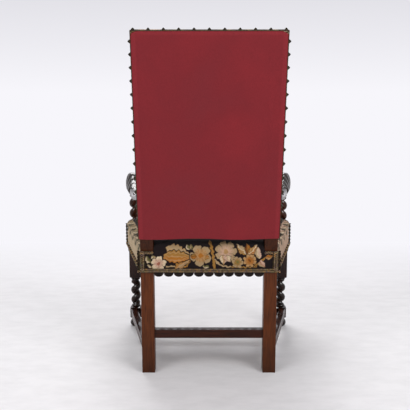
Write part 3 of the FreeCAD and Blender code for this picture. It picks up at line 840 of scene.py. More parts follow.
class ARMCHAIR_OT_front_posts(bpy.types.Operator):
    """Turns the two front posts: bun foot, blocks, collars and barley twists"""

    bl_idname = "armchair.front_posts"
    bl_label = "Front posts"

    sides = 48
    slices_per_turn = 28
    foot_steps = 10
    foot_height = 0.032
    foot_radius = 0.026
    foot_fullness = 0.72
    neck_top = 0.036
    neck_radius = 0.015
    lower_block_top = 0.090
    upper_block_low = 0.214
    block_top = 0.440
    block_half = 0.0235
    block_shoulder = 0.008
    edge_bevel = 0.0022
    bevel_steps = 3
    lap = 0.001
    column_top = 0.461
    column_radius = 0.0205
    column_ease = 0.004
    column_round = 0.0015
    arm_seat = 0.574
    post_top = 0.596
    collar_steps = 8
    collar_height = 0.007
    collar_radius = 0.0185
    bead_depth = 0.003
    bead_fullness = 0.6
    tenon_radius = 0.009
    groove_share = 0.82
    ease_share = 0.35
    twist_margin = 1e-5
    left_starts = (0.45, 0.80)
    right_starts = (0.70, 0.54)
    # Front posts: darker towards the bottom, lightest on the upper twist above the seat
    post_shade_by_height = ((0.0, 0.30), (0.20, 0.45), (0.43, 0.60), (0.48, 1.15))

    def execute(self, context):
        axis = front_axis()
        finish = wood("dark_walnut_turned", "dark_walnut", "dark_walnut_deep", UPRIGHT, shine=0.22, wax=0.08,
                      shade_by_height=self.post_shade_by_height)
        left = self.post(axis, self.left_starts, "turned_post_left")
        model = self.post(axis, self.right_starts, "right_model")
        right = mirrored(model, "turned_post_right")
        remove(model)
        settle_all({"front_post_left": left, "front_post_right": right}, finish, "dark_walnut", degrees=35.0)
        return {"FINISHED"}

    def post(self, axis, starts, name):
        """One post, its two twists starting at their own shares of a turn."""
        made = join([self.turned_core(axis, starts),
                     self.block(axis, self.neck_top, self.lower_block_top, True),
                     self.block(axis, self.upper_block_low, self.block_top, False)], name)
        outward(made)
        return made

    def profile(self):
        """Radius and height of each ring from the sole to the tenon."""
        neck = self.neck_radius
        column = self.column_radius
        lap = self.lap
        rings = []
        for step in range(self.foot_steps + 1):
            share = step / self.foot_steps
            swell = math.sqrt(1.0 - ((2 * share - 1) * self.foot_fullness) ** 2)
            rings.append((self.foot_radius * swell, self.foot_height * share))
        rings += [(neck, self.foot_height), (neck, self.lower_block_top - lap)]
        rings += self.collar(self.lower_block_top)
        rings += self.slices(*self.lower_twist())
        rings += self.collar(self.upper_block_low - self.collar_height)
        rings += [(neck, self.upper_block_low + lap), (neck, self.block_top - 2 * lap),
                  (column, self.block_top - lap), (column, self.column_top - self.column_ease),
                  (column - self.column_round, self.column_top - lap), (neck, self.column_top)]
        rings += self.slices(*self.upper_twist())
        rings += self.collar(self.arm_seat - self.collar_height)
        rings += [(self.tenon_radius, self.arm_seat), (self.tenon_radius, self.post_top)]
        return rings

    def lower_twist(self):
        return self.lower_block_top + self.collar_height, self.upper_block_low - self.collar_height

    def upper_twist(self):
        return self.column_top, self.arm_seat - self.collar_height

    def collar(self, low):
        """Rings of a half-round bead."""
        inner = self.collar_radius - self.bead_depth
        shares = [step / self.collar_steps for step in range(self.collar_steps + 1)]
        return [(inner + self.bead_depth * math.sin(math.pi * share) ** self.bead_fullness,
                 low + self.collar_height * share) for share in shares]

    def slices(self, low, high):
        """Level rings between the ends of a twist."""
        count = math.ceil((high - low) / sizes().twist_pitch * self.slices_per_turn)
        return [(self.neck_radius, low + (high - low) * index / count) for index in range(1, count)]

    def turned_core(self, axis, starts):
        core = lathe("turned_core", self.sides, self.profile(), axis)
        points = points_of(core)
        for start, (low, high) in zip(starts, (self.lower_twist(), self.upper_twist())):
            self.wind(points, axis, low, high, start)
        place_points(core, points)
        return core

    def wind(self, points, axis, low, high, start):
        """Cuts the winding groove between two heights: full round swells with a deep groove between."""
        size = sizes()
        inside = (points[:, 2] > low + self.twist_margin) & (points[:, 2] < high - self.twist_margin)
        x, y, z = points[inside].T
        around = np.arctan2(y - axis.y, x - axis.x)
        turn = 2 * math.pi * ((z - low) / size.twist_pitch - start)
        off_crest = np.abs((around - turn + math.pi) % (2 * math.pi) - math.pi) / math.pi
        swell = np.sqrt(clipped(1.0 - (off_crest / self.groove_share) ** 2))
        ease = clipped(np.minimum(z - low, high - z) / (self.ease_share * size.twist_pitch))
        wound = size.twist_waist / 2 + (size.twist_width - size.twist_waist) / 2 * swell
        radius = self.neck_radius + (wound - self.neck_radius) * np.sin(ease * math.pi / 2)
        points[inside, 0] = axis.x + radius * np.cos(around)
        points[inside, 1] = axis.y + radius * np.sin(around)

    def block(self, axis, low, high, shoulder_above):
        """Square block with eased edges, its ends rounded down on the lathe."""
        square = brick("post_block", axis + up((low + high) / 2),
                       (2 * self.block_half, 2 * self.block_half, high - low))
        bevel(square, self.edge_bevel, self.bevel_steps)
        corner = self.block_half * math.sqrt(2)
        marks = [(self.collar_radius, low), (corner, low + self.block_shoulder)]
        if shoulder_above:
            marks += [(corner, high - self.block_shoulder), (self.collar_radius, high)]
        else:
            marks.append((corner, high))
        limit = lathe("lathe_limit", 2 * self.sides, marks, axis)
        outward(limit)
        apply_modifier(square, "BOOLEAN", operation="INTERSECT", object=limit)
        remove(limit)
        return square


class ARMCHAIR_OT_back_cloth(bpy.types.Operator):
    """Stretches the plain red cloth over the rear of the back"""

    bl_idname = "armchair.back_cloth"
    bl_label = "Back cloth"

    half_width = 0.2432
    slope_start = 0.043
    slope_end = 0.7422
    thickness = 0.0016
    corner_radius = 0.016
    rest_out = 0.0022
    edge_start = 0.97
    edge_draw = 0.0016
    top_start = 0.985
    top_draw = 0.0014
    post_line = 0.80
    post_line_width = 0.012
    post_line_end = 0.90
    crest_line = 0.875
    crest_line_width = 0.006
    crest_line_end = 0.82
    line_height = 0.00045
    sag = 0.0012
    pucker_height = 0.00025
    pucker_turns = 37.0
    pucker_reach = 0.05
    hem_wave = 0.0022
    hem_turns = 5.2
    hem_phase = 0.6
    hem_reach = 0.03
    # Painted highlight along the cloth's rolled side and top edges
    edge_highlight_side = (0.226, 0.230)
    edge_highlight_top = (1.168, 1.174)
    edge_highlight_share = 0.30
    edge_highlight_level = 1.45

    def execute(self, context):
        size = sizes()
        span = self.slope_end - self.slope_start
        columns = round(2 * self.half_width / size.cloth_grid)
        rows = round(span / size.cloth_grid)
        cloth = grid("red_cloth", columns, rows)
        x, y, z = points_of(cloth).T
        self.stretch(cloth, x * 2, y + 0.5, span)
        self.face_rear(cloth)
        apply_modifier(cloth, "SOLIDIFY", thickness=self.thickness, offset=-1.0)
        smooth(cloth, degrees=60.0)
        settle(cloth, self.finish(), "red_back_cloth", "back_cloth")
        return {"FINISHED"}

    def stretch(self, cloth, across, up, span):
        """Lays the cloth on the leaning back, drawn in at its edges, with the frame showing faintly."""
        off_middle = np.abs(across)
        edge = np.maximum(0.0, off_middle - self.edge_start) / (1.0 - self.edge_start)
        top = np.maximum(0.0, up - self.top_start) / (1.0 - self.top_start)
        posts = np.exp(-((off_middle - self.post_line) / self.post_line_width) ** 2)
        crest = np.exp(-((up - self.crest_line) / self.crest_line_width) ** 2)
        lines_seen = posts * (up < self.post_line_end) + crest * (off_middle < self.crest_line_end)
        hollow = (1.0 - across ** 2) * np.sin(np.pi * clipped(up))
        pucker = np.sin(across * self.pucker_turns) * np.exp(-up / self.pucker_reach)
        out = (self.rest_out - self.edge_draw * edge ** 2 - self.top_draw * top ** 2
               + self.line_height * lines_seen - self.sag * hollow + self.pucker_height * pucker)
        hem = self.hem_wave * np.sin(across * self.hem_turns + self.hem_phase) * np.exp(-up / self.hem_reach)
        below_top = np.minimum((1.0 - up) * span, self.corner_radius)
        shy = self.corner_radius - np.sqrt(self.corner_radius ** 2 - (self.corner_radius - below_top) ** 2)
        slope = self.slope_start + up * span + hem
        place_columns(cloth, across * (self.half_width - shy), *on_back(slope, out))

    def face_rear(self, cloth):
        """Turns the open cloth's faces to the rear."""
        pick(cloth)
        rearward = sum(face.normal.y for face in cloth.data.polygons)
        if rearward < 0.0:
            edit_all()
            bpy.ops.mesh.flip_normals()
            object_mode()

    def finish(self):
        """Plain-woven red cotton, a little faded in patches, with a painted highlight along its side and top
        edges where they roll over.
        """
        material, tree, shader = new_material("red_back_cloth")
        base = shade("red_cloth")
        bright = scaled(base, 1.16, 1.05, 1.05)
        faded = scaled(base, 0.93, 1.12, 1.10)
        pale = scaled(base, *grey(self.edge_highlight_level))
        place = object_place(tree)
        fade = noise_of(tree, place, scale=4.0, detail=4.0, roughness=0.55)
        upright = object_place(tree, drawn_out(UPRIGHT, across_scale=900.0, along_scale=14.0))
        slub = noise_of(tree, upright, scale=1.0, detail=2.0, roughness=0.5)
        tone = ramp_of(tree, fade, (0.32, faded), (0.52, base), (0.74, bright))
        flecks = ramp_of(tree, slub, (0.30, grey(0.86)), (0.62, grey(1.06)))
        axes = axes_of(tree, place)
        across = maths(tree, "ABSOLUTE", axes["X"])
        # Painted highlight: paler towards the side and top edges, where the cloth rolls over
        side = spread(tree, across, *self.edge_highlight_side, 0.0, self.edge_highlight_share)
        top = spread(tree, axes["Z"], *self.edge_highlight_top, 0.0, self.edge_highlight_share)
        tone = mix_colours(tree, maths(tree, "MAXIMUM", side, top), tone, pale)
        colour_shader(shader, times(tree, tone, flecks))
        weave = [wave_of(tree, place, bands, scale=260.0, distortion=0.4) for bands in "XZ"]
        set_values(shader, {"Roughness": 0.86, "Specular IOR Level": CLOTH_SHINE,
                            "Sheen Weight": 0.03, "Sheen Roughness": 0.5})
        bumped(shader, maths(tree, "MULTIPLY", *weave), strength=0.35, distance=0.0003)
        return material


class ARMCHAIR_OT_nails(bpy.types.Operator):
    """Sets the pointed nail heads along the sides and the top of the back"""

    bl_idname = "armchair.nails"
    bl_label = "Nail heads"

    side_count = 15
    side_crowding = 0.16
    top_count = 11
    flange_share = 0.18
    waist_share = 0.55
    tapers = (0.92, 0.48, 0.16)
    head_bevel = 0.0006
    bevel_steps = 2
    wobble = 0.10
    wobble_step = 12.9

    def execute(self, context):
        head = self.head()
        left = self.side_row(head)
        top = self.top_row(head)
        remove(head)
        right = mirrored(left, "nails_right")
        settle_all({"back_nails_left": left, "back_nails_right": right, "back_nails_top": top},
                   self.finish(), "dark_nails", degrees=30.0)
        return {"FINISHED"}

    def head(self):
        """Four-sided pointed head on a thin flange, its point along +Z."""
        size = sizes()
        head = disc("nail_head", 4, size.nail_width / 2 * math.sqrt(2), rotation=(0.0, 0.0, math.pi / 4))
        edit_all()
        flange = self.flange_share * size.nail_height
        waist = self.waist_share * size.nail_height
        point = size.nail_height - flange - waist
        top = 0.0
        for rise, taper in zip((flange, waist, point), self.tapers):
            top += rise
            extrude_ring(rise, taper, up(top))
        outward(head)
        bevel(head, self.head_bevel, self.bevel_steps)
        return head

    def row(self, head, first, last, count, turn, name, crowding=0.0):
        """Row of nails, each a little askew, set closer together at its start."""
        heads = []
        for index in range(count):
            share = index / (count - 1)
            along = share * (1.0 - crowding + crowding * share)
            askew = turned(math.sin(index * self.wobble_step) * self.wobble, "Z")
            place = Matrix.Translation(first.lerp(last, along))
            heads.append(moved_to(copy_of(head, "nail"), place @ turn @ askew))
        return join(heads, name)

    def side_row(self, head):
        size = sizes()
        low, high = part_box("back_nails_left")
        reach = size.nail_width / 2 * sum(lean())
        first = Vector((low.x, high.y - reach, high.z - reach))
        last = Vector((low.x, low.y + reach, low.z + reach))
        turn = turned(-size.back_rake, "X") @ turned(math.pi / 2, "Y")
        return self.row(head, first, last, self.side_count, turn, "nails_left", self.side_crowding)

    def top_row(self, head):
        size = sizes()
        low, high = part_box("back_nails_top")
        half = size.nail_width / 2
        sine, cosine = lean()
        middle = low.y + half * cosine
        seat = low.z + half * sine
        first = Vector((low.x + half, middle, seat))
        last = Vector((high.x - half, middle, seat))
        return self.row(head, first, last, self.top_count, turned(-size.back_rake, "X"), "nails_top")

    def finish(self):
        """Dark bronzed metal, rubbed brighter in places."""
        material, tree, shader = new_material("dark_nails")
        base = shade("iron")
        patina = noise_of(tree, object_place(tree), scale=260.0, detail=4.0, roughness=0.6)
        dark = scaled(base, *grey(0.35))
        colour_shader(shader, ramp_of(tree, patina, (0.38, dark), (0.68, base)))
        wire(spread(tree, patina, 0.3, 0.7, 0.62, 0.36), shader.inputs["Roughness"])
        set_values(shader, {"Metallic": 0.75})
        bumped(shader, patina, strength=0.3, distance=0.0004)
        return material


class ARMCHAIR_OT_arms(bpy.types.Operator):
    """Carves the two arms: a dipped bow, a leafy hump and a rolled scroll"""

    bl_idname = "armchair.arms"
    bl_label = "Arms"

    bow_sides = 32
    bow_rings = 110
    bow_squareness = 1.25
    seat_height = 0.574
    rear_reach = 0.075
    rear_rise = 0.083
    dip_rise = 0.025
    dip_skew = 1.5
    hump_rise = 0.045
    rear_depth = 0.036
    dip_depth = 0.025
    hump_depth = 0.084
    swell_power = 8
    rear_width = 0.034
    front_width = 0.043
    outward_shift = 0.006
    roll_sides = 16
    roll_rings = 96
    roll_squareness = 1.5
    roll_radius = 0.044
    roll_limit = 0.048
    roll_forward = 0.025
    roll_rise = 0.046
    roll_width = 0.050
    roll_strip = 0.0125
    roll_turns = 1.85
    roll_lead = 0.35
    roll_eye = 0.012
    roll_lobes = 4.5
    roll_lobes_start = -0.3
    roll_lobes_end = 2.4
    roll_lobe_lift = 0.0020
    roll_lobe_squareness = 4
    eye_sides = 32
    eye_width = 0.054
    eye_fullness = 0.35
    leaf_start = 0.78
    leaf_low = 0.014
    leaf_ease = 0.012
    leaf_height = 0.005
    leaf_tip = 0.045
    leaf_tip_half = 0.15
    leaf_spread = 1.2
    rib_half = 0.16
    groove_floor = 0.1
    lobe_pitch = 0.025
    lobe_slant = 0.030

    def execute(self, context):
        finish = wood("dark_walnut_arm", "arm_walnut", "dark_walnut_deep", FORWARD, shine=0.22, carved=True)
        left = join([self.bow(), self.uncarved(self.roll()), self.uncarved(self.eye())], "carved_arm_left")
        outward(left)
        right = mirrored(left, "carved_arm_right")
        settle_all({"arm_left": left, "arm_right": right}, finish, "dark_walnut", degrees=50.0)
        return {"FINISHED"}

    def ends(self):
        """Middle of the back post, and the front post's axis, in plan."""
        low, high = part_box("back_post_left")
        return Vector(((low.x + high.x) / 2, bend_depth(), 0.0)), front_axis()

    def roll_centre(self):
        return front_axis() + Vector((self.outward_shift, -self.roll_forward,
                                      self.seat_height + self.roll_rise))

    def bow(self):
        """Bow of the arm, from inside the back post to the middle of the scroll."""
        rear, front = self.ends()
        bow = straight_bar("arm_bow", self.bow_sides, self.bow_rings, self.bow_squareness)
        x, y, z = points_of(bow).T
        run = rear.y - front.y
        start = (sizes().post_size - self.rear_reach) / run
        finish = 1.0 + self.roll_forward / run
        share = start + (finish - start) * z
        inside = clipped(share)
        sag = (self.rear_rise + self.hump_rise) / 2 - self.dip_rise
        rise = self.rear_rise + (self.hump_rise - self.rear_rise) * inside
        rise = rise - sag * np.sin(np.pi * inside ** self.dip_skew)
        width = self.rear_width + (self.front_width - self.rear_width) * inside
        depth = self.rear_depth + (self.hump_depth - self.rear_depth) * inside ** self.swell_power
        depth = depth - (self.rear_depth - self.dip_depth) * np.sin(np.pi * inside)
        line = rear.x + (front.x + self.outward_shift - rear.x) * share
        place_columns(bow, line + x * width / 2, rear.y - run * share,
                      self.seat_height + rise + y * depth / 2)
        apply_modifier(bow, "SUBSURF", levels=1, render_levels=1)
        outward(bow)
        self.carve_leaf(bow, rear, front)
        return bow

    def carve_leaf(self, bow, rear, front):
        """Leaf on the hump: a middle rib and slanting lobes that spread to both sides, with painted shade in
        its grooves.
        """
        x, y, z = points_of(bow).T
        share = (rear.y - y) / (rear.y - front.y)
        line = rear.x + (front.x + self.outward_shift - rear.x) * share
        across = np.abs(x - line) / (self.front_width / 2)
        forward = (share - self.leaf_start) * (rear.y - front.y)
        lobes = (forward + across * self.lobe_slant) / self.lobe_pitch
        groove = np.abs(lobes - np.floor(lobes) - 0.5) * 2
        lobe = np.sqrt(clipped(1.0 - groove ** 2))
        rib = np.exp(-(across / self.rib_half) ** 2)
        tip = clipped(forward / self.leaf_tip)
        above = clipped((z - self.seat_height - self.leaf_low) / self.leaf_ease)
        on_leaf = (forward > 0.0) & (across < self.leaf_tip_half + self.leaf_spread * tip)
        height = np.maximum(self.groove_floor + (1.0 - self.groove_floor) * lobe, rib)
        # Painted shade: the carving colour is darkest in the grooves between the lobes and the rib
        painted_groove_shade = np.where(on_leaf, np.maximum(lobe, rib), 1.0)
        colour_points(bow, "carving", np.repeat(1.0 - (1.0 - painted_groove_shade) * above, 4))
        raise_relief(bow, np.where(on_leaf, height, 0.0) * np.sqrt(tip) * above, self.leaf_height)

    def uncarved(self, piece):
        colour_points(piece, "carving", np.ones(4 * len(piece.data.vertices)))
        return piece

    def roll(self):
        """Strip that rolls over at the front and winds in to the eye of the scroll."""
        centre = self.roll_centre()
        roll = straight_bar("arm_roll", self.roll_sides, self.roll_rings, self.roll_squareness)
        x, y, z = points_of(roll).T
        turn = z * self.roll_turns * 2 * math.pi - self.roll_lead
        first = self.roll_radius - self.roll_strip / 2
        last = self.roll_eye + self.roll_strip / 3
        wind = first + (last - first) * z
        lobed = (turn < self.roll_lobes_end) & (turn > self.roll_lobes_start) & (y > 0)
        lobes = np.abs(np.sin(turn * self.roll_lobes)) * lobed
        lift = self.roll_lobe_lift * lobes * (1.0 - np.abs(x) ** self.roll_lobe_squareness)
        radius = wind + y * self.roll_strip / 2 + lift
        narrow = np.sqrt(1.0 - (wind / self.roll_limit) ** 2)
        place_columns(roll, centre.x + x * self.roll_width / 2 * narrow,
                      centre.y - radius * np.sin(turn), centre.z + radius * np.cos(turn))
        return roll

    def eye(self):
        """Round boss in the middle of the scroll, domed on both sides."""
        centre = self.roll_centre()
        half = self.eye_width / 2
        eye = ball("scroll_eye", self.eye_sides, self.eye_sides // 2, (self.roll_eye, self.roll_eye, half),
                   location=centre, rotation=(0.0, math.pi / 2, 0.0))
        x, y, z = points_of(eye).T
        shift = np.abs(x - centre.x) / half
        place_columns(eye, centre.x + np.sign(x - centre.x) * half * shift ** self.eye_fullness, y, z)
        return eye


# Needlepoint

# Blossoms, in shares of their size
FLOWER_REACH = 1.15
PETAL_CLEFT = 0.58
PETAL_POINT = 2.4
PETAL_FULLNESS = 0.6
PETAL_OUTLINE = 0.09
RIM_START = 0.35
RIM_WIDTH = 0.45
STREAKS = 3
STREAK_END = 0.66
STREAK_SHARE = 0.75
HEART_SIZE = 0.24
HEART_EDGE = 0.05
CLEFT_SIDE = 0.86
CLEFT_START = 0.34
CLEFT_TINT = 0.65

# Leaves, in shares of their length or half width
LEAF_REACH = 0.62
LEAF_BOW_ROOM = 1.5
LEAF_THIN = 0.05
LEAF_STREAK_SHARE = 0.8
LEAF_FULLNESS = 0.72
LEAF_WAVE = 0.09
LEAF_WAVES = 40.0
LEAF_CONTRAST = 1.6
LEAF_OUTLINE = 0.16
LEAF_END = 0.02
VEINS = 6.0
VEIN_SLANT = 1.5
VEIN_SHARE = 0.45
VEIN_END = 0.82
RIB_HALF = 0.15
RIB_EDGE = 0.06

# Stalks, in shares of their width
STEM_PLACES = 48
STEM_HALF = 0.5
STEM_OUTLINE = 0.8

# Uneven hand of the stitcher
HAND_DRIFT = 0.0011
HAND_WAVES_U = ((0, 331, 1.3), (173, 420, 0))
HAND_WAVES_V = ((307, 0, 0.4), (390, -210, 0))
HAND_SEED = 7
HAND_SHADES = (0.88, 1.20)


def close_to(u, v, place, reach):
    """Indices of the points within a square about a place."""
    return np.nonzero((np.abs(u - place[0]) < reach) & (np.abs(v - place[1]) < reach))[0]


def blend(first, second, share):
    return first + (second - first) * clipped(share)[:, None]


def lines(turn, contrast, level):
    """Soft lines, one for each turn of an angle."""
    return clipped(np.cos(turn) * contrast - level)


def flower(place, size, petals, turn, rim, inner, heart):
    """Blossom with round petals: pale rims, streaks towards the middle and a heart."""

    def paint(u, v, tints):
        near = close_to(u, v, place, FLOWER_REACH * size)
        du = u[near] - place[0]
        dv = v[near] - place[1]
        reach = np.hypot(du, dv) / size
        around = (np.arctan2(dv, du) - turn) * petals / (2 * math.pi)
        side = np.abs(around - np.round(around)) * 2
        full = clipped(1.0 - side ** PETAL_POINT) ** PETAL_FULLNESS
        edge = PETAL_CLEFT + (1.0 - PETAL_CLEFT) * full
        tint = blend(inner, rim, (reach / edge - RIM_START) / RIM_WIDTH)
        streak = lines(around * 2 * math.pi * STREAKS, 1.6, 0.5) * (reach < STREAK_END * edge)
        tint = blend(tint, heart, STREAK_SHARE * streak)
        tint = blend(tint, heart, (HEART_SIZE - reach) / HEART_EDGE)
        tint[(side > CLEFT_SIDE) & (reach > CLEFT_START)] = CLEFT_TINT * inner + (1.0 - CLEFT_TINT) * GROUND
        tint[reach > edge] = GROUND
        shown = reach < edge + PETAL_OUTLINE
        tints[near[shown]] = tint[shown]

    return paint


def leaf(root, tip, width, light, dark, rib, bow=0.0, streaks=0.0):
    """Pointed leaf or petal in two tones, with slanting veins and a rib, or with streaks along it."""
    axis = np.subtract(tip, root)
    span = float(np.hypot(*axis))
    along = axis / span
    middle = np.add(root, tip) / 2

    def paint(u, v, tints):
        near = close_to(u, v, middle, LEAF_REACH * span + LEAF_BOW_ROOM * width)
        du = u[near] - root[0]
        dv = v[near] - root[1]
        s = (du * along[0] + dv * along[1]) / span
        inside = clipped(s)
        t = (dv * along[0] - du * along[1]) / width - bow * np.sin(math.pi * inside)
        half = np.sin(math.pi * inside ** LEAF_FULLNESS) * (1.0 + LEAF_WAVE * np.sin(inside * LEAF_WAVES))
        off = np.abs(t)
        tint = blend(dark, light, 0.5 + LEAF_CONTRAST * t)
        if streaks:
            streak = lines(streaks * math.pi * t / np.maximum(half, LEAF_THIN), 1.8, 0.5)
            tint = blend(tint, rib, np.minimum(streak, LEAF_STREAK_SHARE))
        else:
            vein = lines((s * VEINS - off * VEIN_SLANT) * 2 * math.pi, 1.8, 0.6)
            tint = blend(tint, rib, VEIN_SHARE * vein * (off < VEIN_END * half))
            tint = blend(tint, rib, (RIB_HALF - off) / RIB_EDGE)
        tint[off > half] = GROUND
        shown = (s > -LEAF_END) & (s < 1.0 + LEAF_END) & (off < half + LEAF_OUTLINE)
        tints[near[shown]] = tint[shown]

    return paint


def stem(start, bend, end, width, tint):
    """Curved stalk through three places, outlined by the ground."""

    def paint(u, v, tints):
        shares = np.linspace(0.0, 1.0, STEM_PLACES)[:, None]
        line = ((1 - shares) ** 2 * np.array(start) + 2 * shares * (1 - shares) * np.array(bend)
                + shares ** 2 * np.array(end))
        low = line.min(axis=0)
        high = line.max(axis=0)
        near = close_to(u, v, (low + high) / 2, float((high - low).max()) / 2 + 2 * width)
        away = np.full(len(near), 1.0)
        for x, y in line:
            away = np.minimum(away, np.hypot(u[near] - x, v[near] - y))
        tints[near[away < STEM_OUTLINE * width]] = GROUND
        tints[near[away < STEM_HALF * width]] = tint

    return paint


def thread(red, green, blue):
    return np.array([linear(red), linear(green), linear(blue)])


GROUND = thread(30, 21, 23)
CREAM = thread(224, 201, 167)
BEIGE = thread(180, 152, 114)
PEACH = thread(190, 148, 98)
ORANGE = thread(182, 114, 44)
OCHRE = thread(166, 120, 58)
RUST = thread(122, 70, 32)
PINK = thread(212, 175, 153)
ROSE = thread(160, 98, 78)
GREEN = thread(122, 114, 66)
OLIVE = thread(86, 80, 46)


def rear_band_motifs(fold):
    """Flowers along the rear of the seat, from the chair's left to its right."""

    def at(x, z):
        return x, fold - z

    return [
        stem(at(-0.003, 0.488), at(-0.016, 0.446), at(-0.019, 0.390), 0.0090, OCHRE),
        stem(at(-0.022, 0.422), at(-0.034, 0.395), at(-0.084, 0.3955), 0.0052, BEIGE),
        stem(at(-0.080, 0.3955), at(-0.125, 0.3925), at(-0.166, 0.3965), 0.0045, OCHRE),
        stem(at(-0.162, 0.402), at(-0.182, 0.414), at(-0.202, 0.434), 0.0055, OCHRE),
        stem(at(0.150, 0.395), at(0.128, 0.402), at(0.100, 0.392), 0.0045, BEIGE),
        leaf(at(0.000, 0.394), at(0.024, 0.400), 0.0060, CREAM, GREEN, OLIVE, 0.2),
        leaf(at(0.205, 0.409), at(0.219, 0.437), 0.0085, CREAM, OLIVE, GREEN, 0.3),
        leaf(at(0.189, 0.419), at(0.203, 0.437), 0.0070, CREAM, BEIGE, GREEN, -0.3),
        leaf(at(0.202, 0.392), at(0.216, 0.404), 0.0045, CREAM, BEIGE, GREEN),
        flower(at(0.1762, 0.4075), 0.0265, 5, -1.72, CREAM, PINK, ROSE),
        leaf(at(0.148, 0.466), at(0.058, 0.436), 0.0260, BEIGE, BEIGE, PEACH, -0.25, 2.0),
        leaf(at(0.096, 0.391), at(0.058, 0.427), 0.0090, CREAM, OCHRE, ORANGE, 0.1, 2.0),
        leaf(at(0.118, 0.391), at(0.058, 0.429), 0.0130, OCHRE, BEIGE, ORANGE, 0.2, 3.0),
        leaf(at(0.160, 0.434), at(0.054, 0.431), 0.0215, OCHRE, ORANGE, PEACH, 0.0, 3.0),
        leaf(at(0.066, 0.456), at(0.080, 0.478), 0.0065, CREAM, GREEN, OLIVE),
        leaf(at(0.058, 0.458), at(0.064, 0.478), 0.0055, BEIGE, GREEN, OLIVE),
        flower(at(0.0287, 0.4365), 0.0385, 5, 0.16, BEIGE, PEACH, ORANGE),
        leaf(at(0.044, 0.434), at(0.066, 0.434), 0.0090, ORANGE, OCHRE, RUST),
        leaf(at(0.014, 0.430), at(-0.002, 0.428), 0.0080, ORANGE, OCHRE, PEACH),
        flower(at(-0.059, 0.4505), 0.0390, 7, 0.5, BEIGE, PINK, PEACH),
        leaf(at(-0.046, 0.438), at(-0.052, 0.404), 0.0125, PINK, CREAM, OCHRE, 0.2),
        leaf(at(-0.060, 0.436), at(-0.074, 0.414), 0.0110, CREAM, PINK, BEIGE),
        flower(at(-0.100, 0.4120), 0.0205, 6, 0.9, BEIGE, OCHRE, GREEN),
        leaf(at(-0.136, 0.441), at(-0.096, 0.479), 0.0125, OCHRE, BEIGE, CREAM, 0.3),
        leaf(at(-0.137, 0.441), at(-0.133, 0.482), 0.0090, RUST, ORANGE, OCHRE),
        leaf(at(-0.138, 0.441), at(-0.167, 0.476), 0.0125, OCHRE, ORANGE, CREAM, -0.3),
        flower(at(-0.143, 0.4180), 0.0240, 8, 0.4, PEACH, ORANGE, RUST),
        leaf(at(-0.177, 0.426), at(-0.171, 0.470), 0.0105, BEIGE, PINK, CREAM, 0.3),
        leaf(at(-0.174, 0.414), at(-0.198, 0.396), 0.0110, PINK, BEIGE, ROSE),
        leaf(at(-0.197, 0.429), at(-0.226, 0.434), 0.0080, ORANGE, PEACH, RUST),
    ]


def scattered_motifs(seed, low, high, spacing):
    """Blossoms and leaves spread over a field on curling stalks."""
    chance = np.random.default_rng(seed)
    palettes = [(CREAM, PINK, ROSE), (PEACH, CREAM, ORANGE), (BEIGE, CREAM, PEACH), (OCHRE, PEACH, RUST),
                (CREAM, BEIGE, OCHRE), (PINK, CREAM, ROSE)]
    greens = [(GREEN, OLIVE, BEIGE), (OCHRE, GREEN, CREAM), (BEIGE, CREAM, OCHRE), (ORANGE, OCHRE, RUST)]
    stray = 0.22
    flower_sizes = (0.34, 0.46)
    petal_counts = (5, 8)
    leaf_count = 3
    leaf_turn = 2.1
    leaf_stray = 0.4
    leaf_root = 0.8
    leaf_tip = 2.0
    leaf_lean = 0.25
    leaf_half = 0.34
    stalk_width = 0.005
    stalks = []
    leaves = []
    blossoms = []
    rows = int((high[1] - low[1]) / spacing) + 1
    columns = int((high[0] - low[0]) / spacing) + 1

    def off(middle, reach, lay):
        return middle[0] + reach * math.cos(lay), middle[1] + reach * math.sin(lay)

    for row in range(rows):
        for column in range(columns):
            astray = chance.uniform(-stray, stray, 2) * spacing
            x = low[0] + (column + 0.5 * (row % 2)) * spacing + astray[0]
            y = low[1] + row * spacing + astray[1]
            turn = chance.uniform(0.0, 2 * math.pi)
            size = spacing * chance.uniform(*flower_sizes)
            palette = palettes[chance.integers(len(palettes))]
            blossoms.append(flower((x, y), size, int(chance.integers(*petal_counts)), turn, *palette))
            for side in range(leaf_count):
                lay = turn + side * leaf_turn + chance.uniform(-leaf_stray, leaf_stray)
                root = off((x, y), leaf_root * size, lay)
                tip = off((x, y), leaf_tip * size, lay + leaf_lean)
                leaves.append(leaf(root, tip, leaf_half * size, *greens[chance.integers(len(greens))]))
            bend = (x + spacing * 0.5, y + spacing * chance.uniform(-0.5, 0.5))
            stalks.append(stem((x, y), bend, (x + spacing, y + astray[1]), stalk_width, GREEN))
    return stalks + leaves + blossoms


def drift(u, v, waves):
    """How far the stitches stray, as a sum of waves across and along the pattern."""
    return HAND_DRIFT * sum(np.sin(across * u + along * v + start) for across, along, start in waves)


def stitch(piece, u, v, motifs):
    """Colours every vertex of a cover from the motifs, in order, and keeps the flat pattern as a UV map."""
    chance = np.random.default_rng(HAND_SEED)
    tints = np.tile(GROUND, (len(u), 1))
    hand_u = u + drift(u, v, HAND_WAVES_U)
    hand_v = v + drift(u, v, HAND_WAVES_V)
    for paint in motifs:
        paint(hand_u, hand_v, tints)
    shades = chance.uniform(*HAND_SHADES, (len(u), 1))
    colour_points(piece, "needlepoint", np.hstack([clipped(tints * shades), np.ones((len(u), 1))]))
    corners = np.zeros(len(piece.data.loops), dtype=np.int32)
    piece.data.loops.foreach_get("vertex_index", corners)
    flat = np.stack([u[corners], v[corners]], axis=1).astype(np.float32)
    piece.data.uv_layers.new(name="stitches").data.foreach_set("uv", flat.ravel())


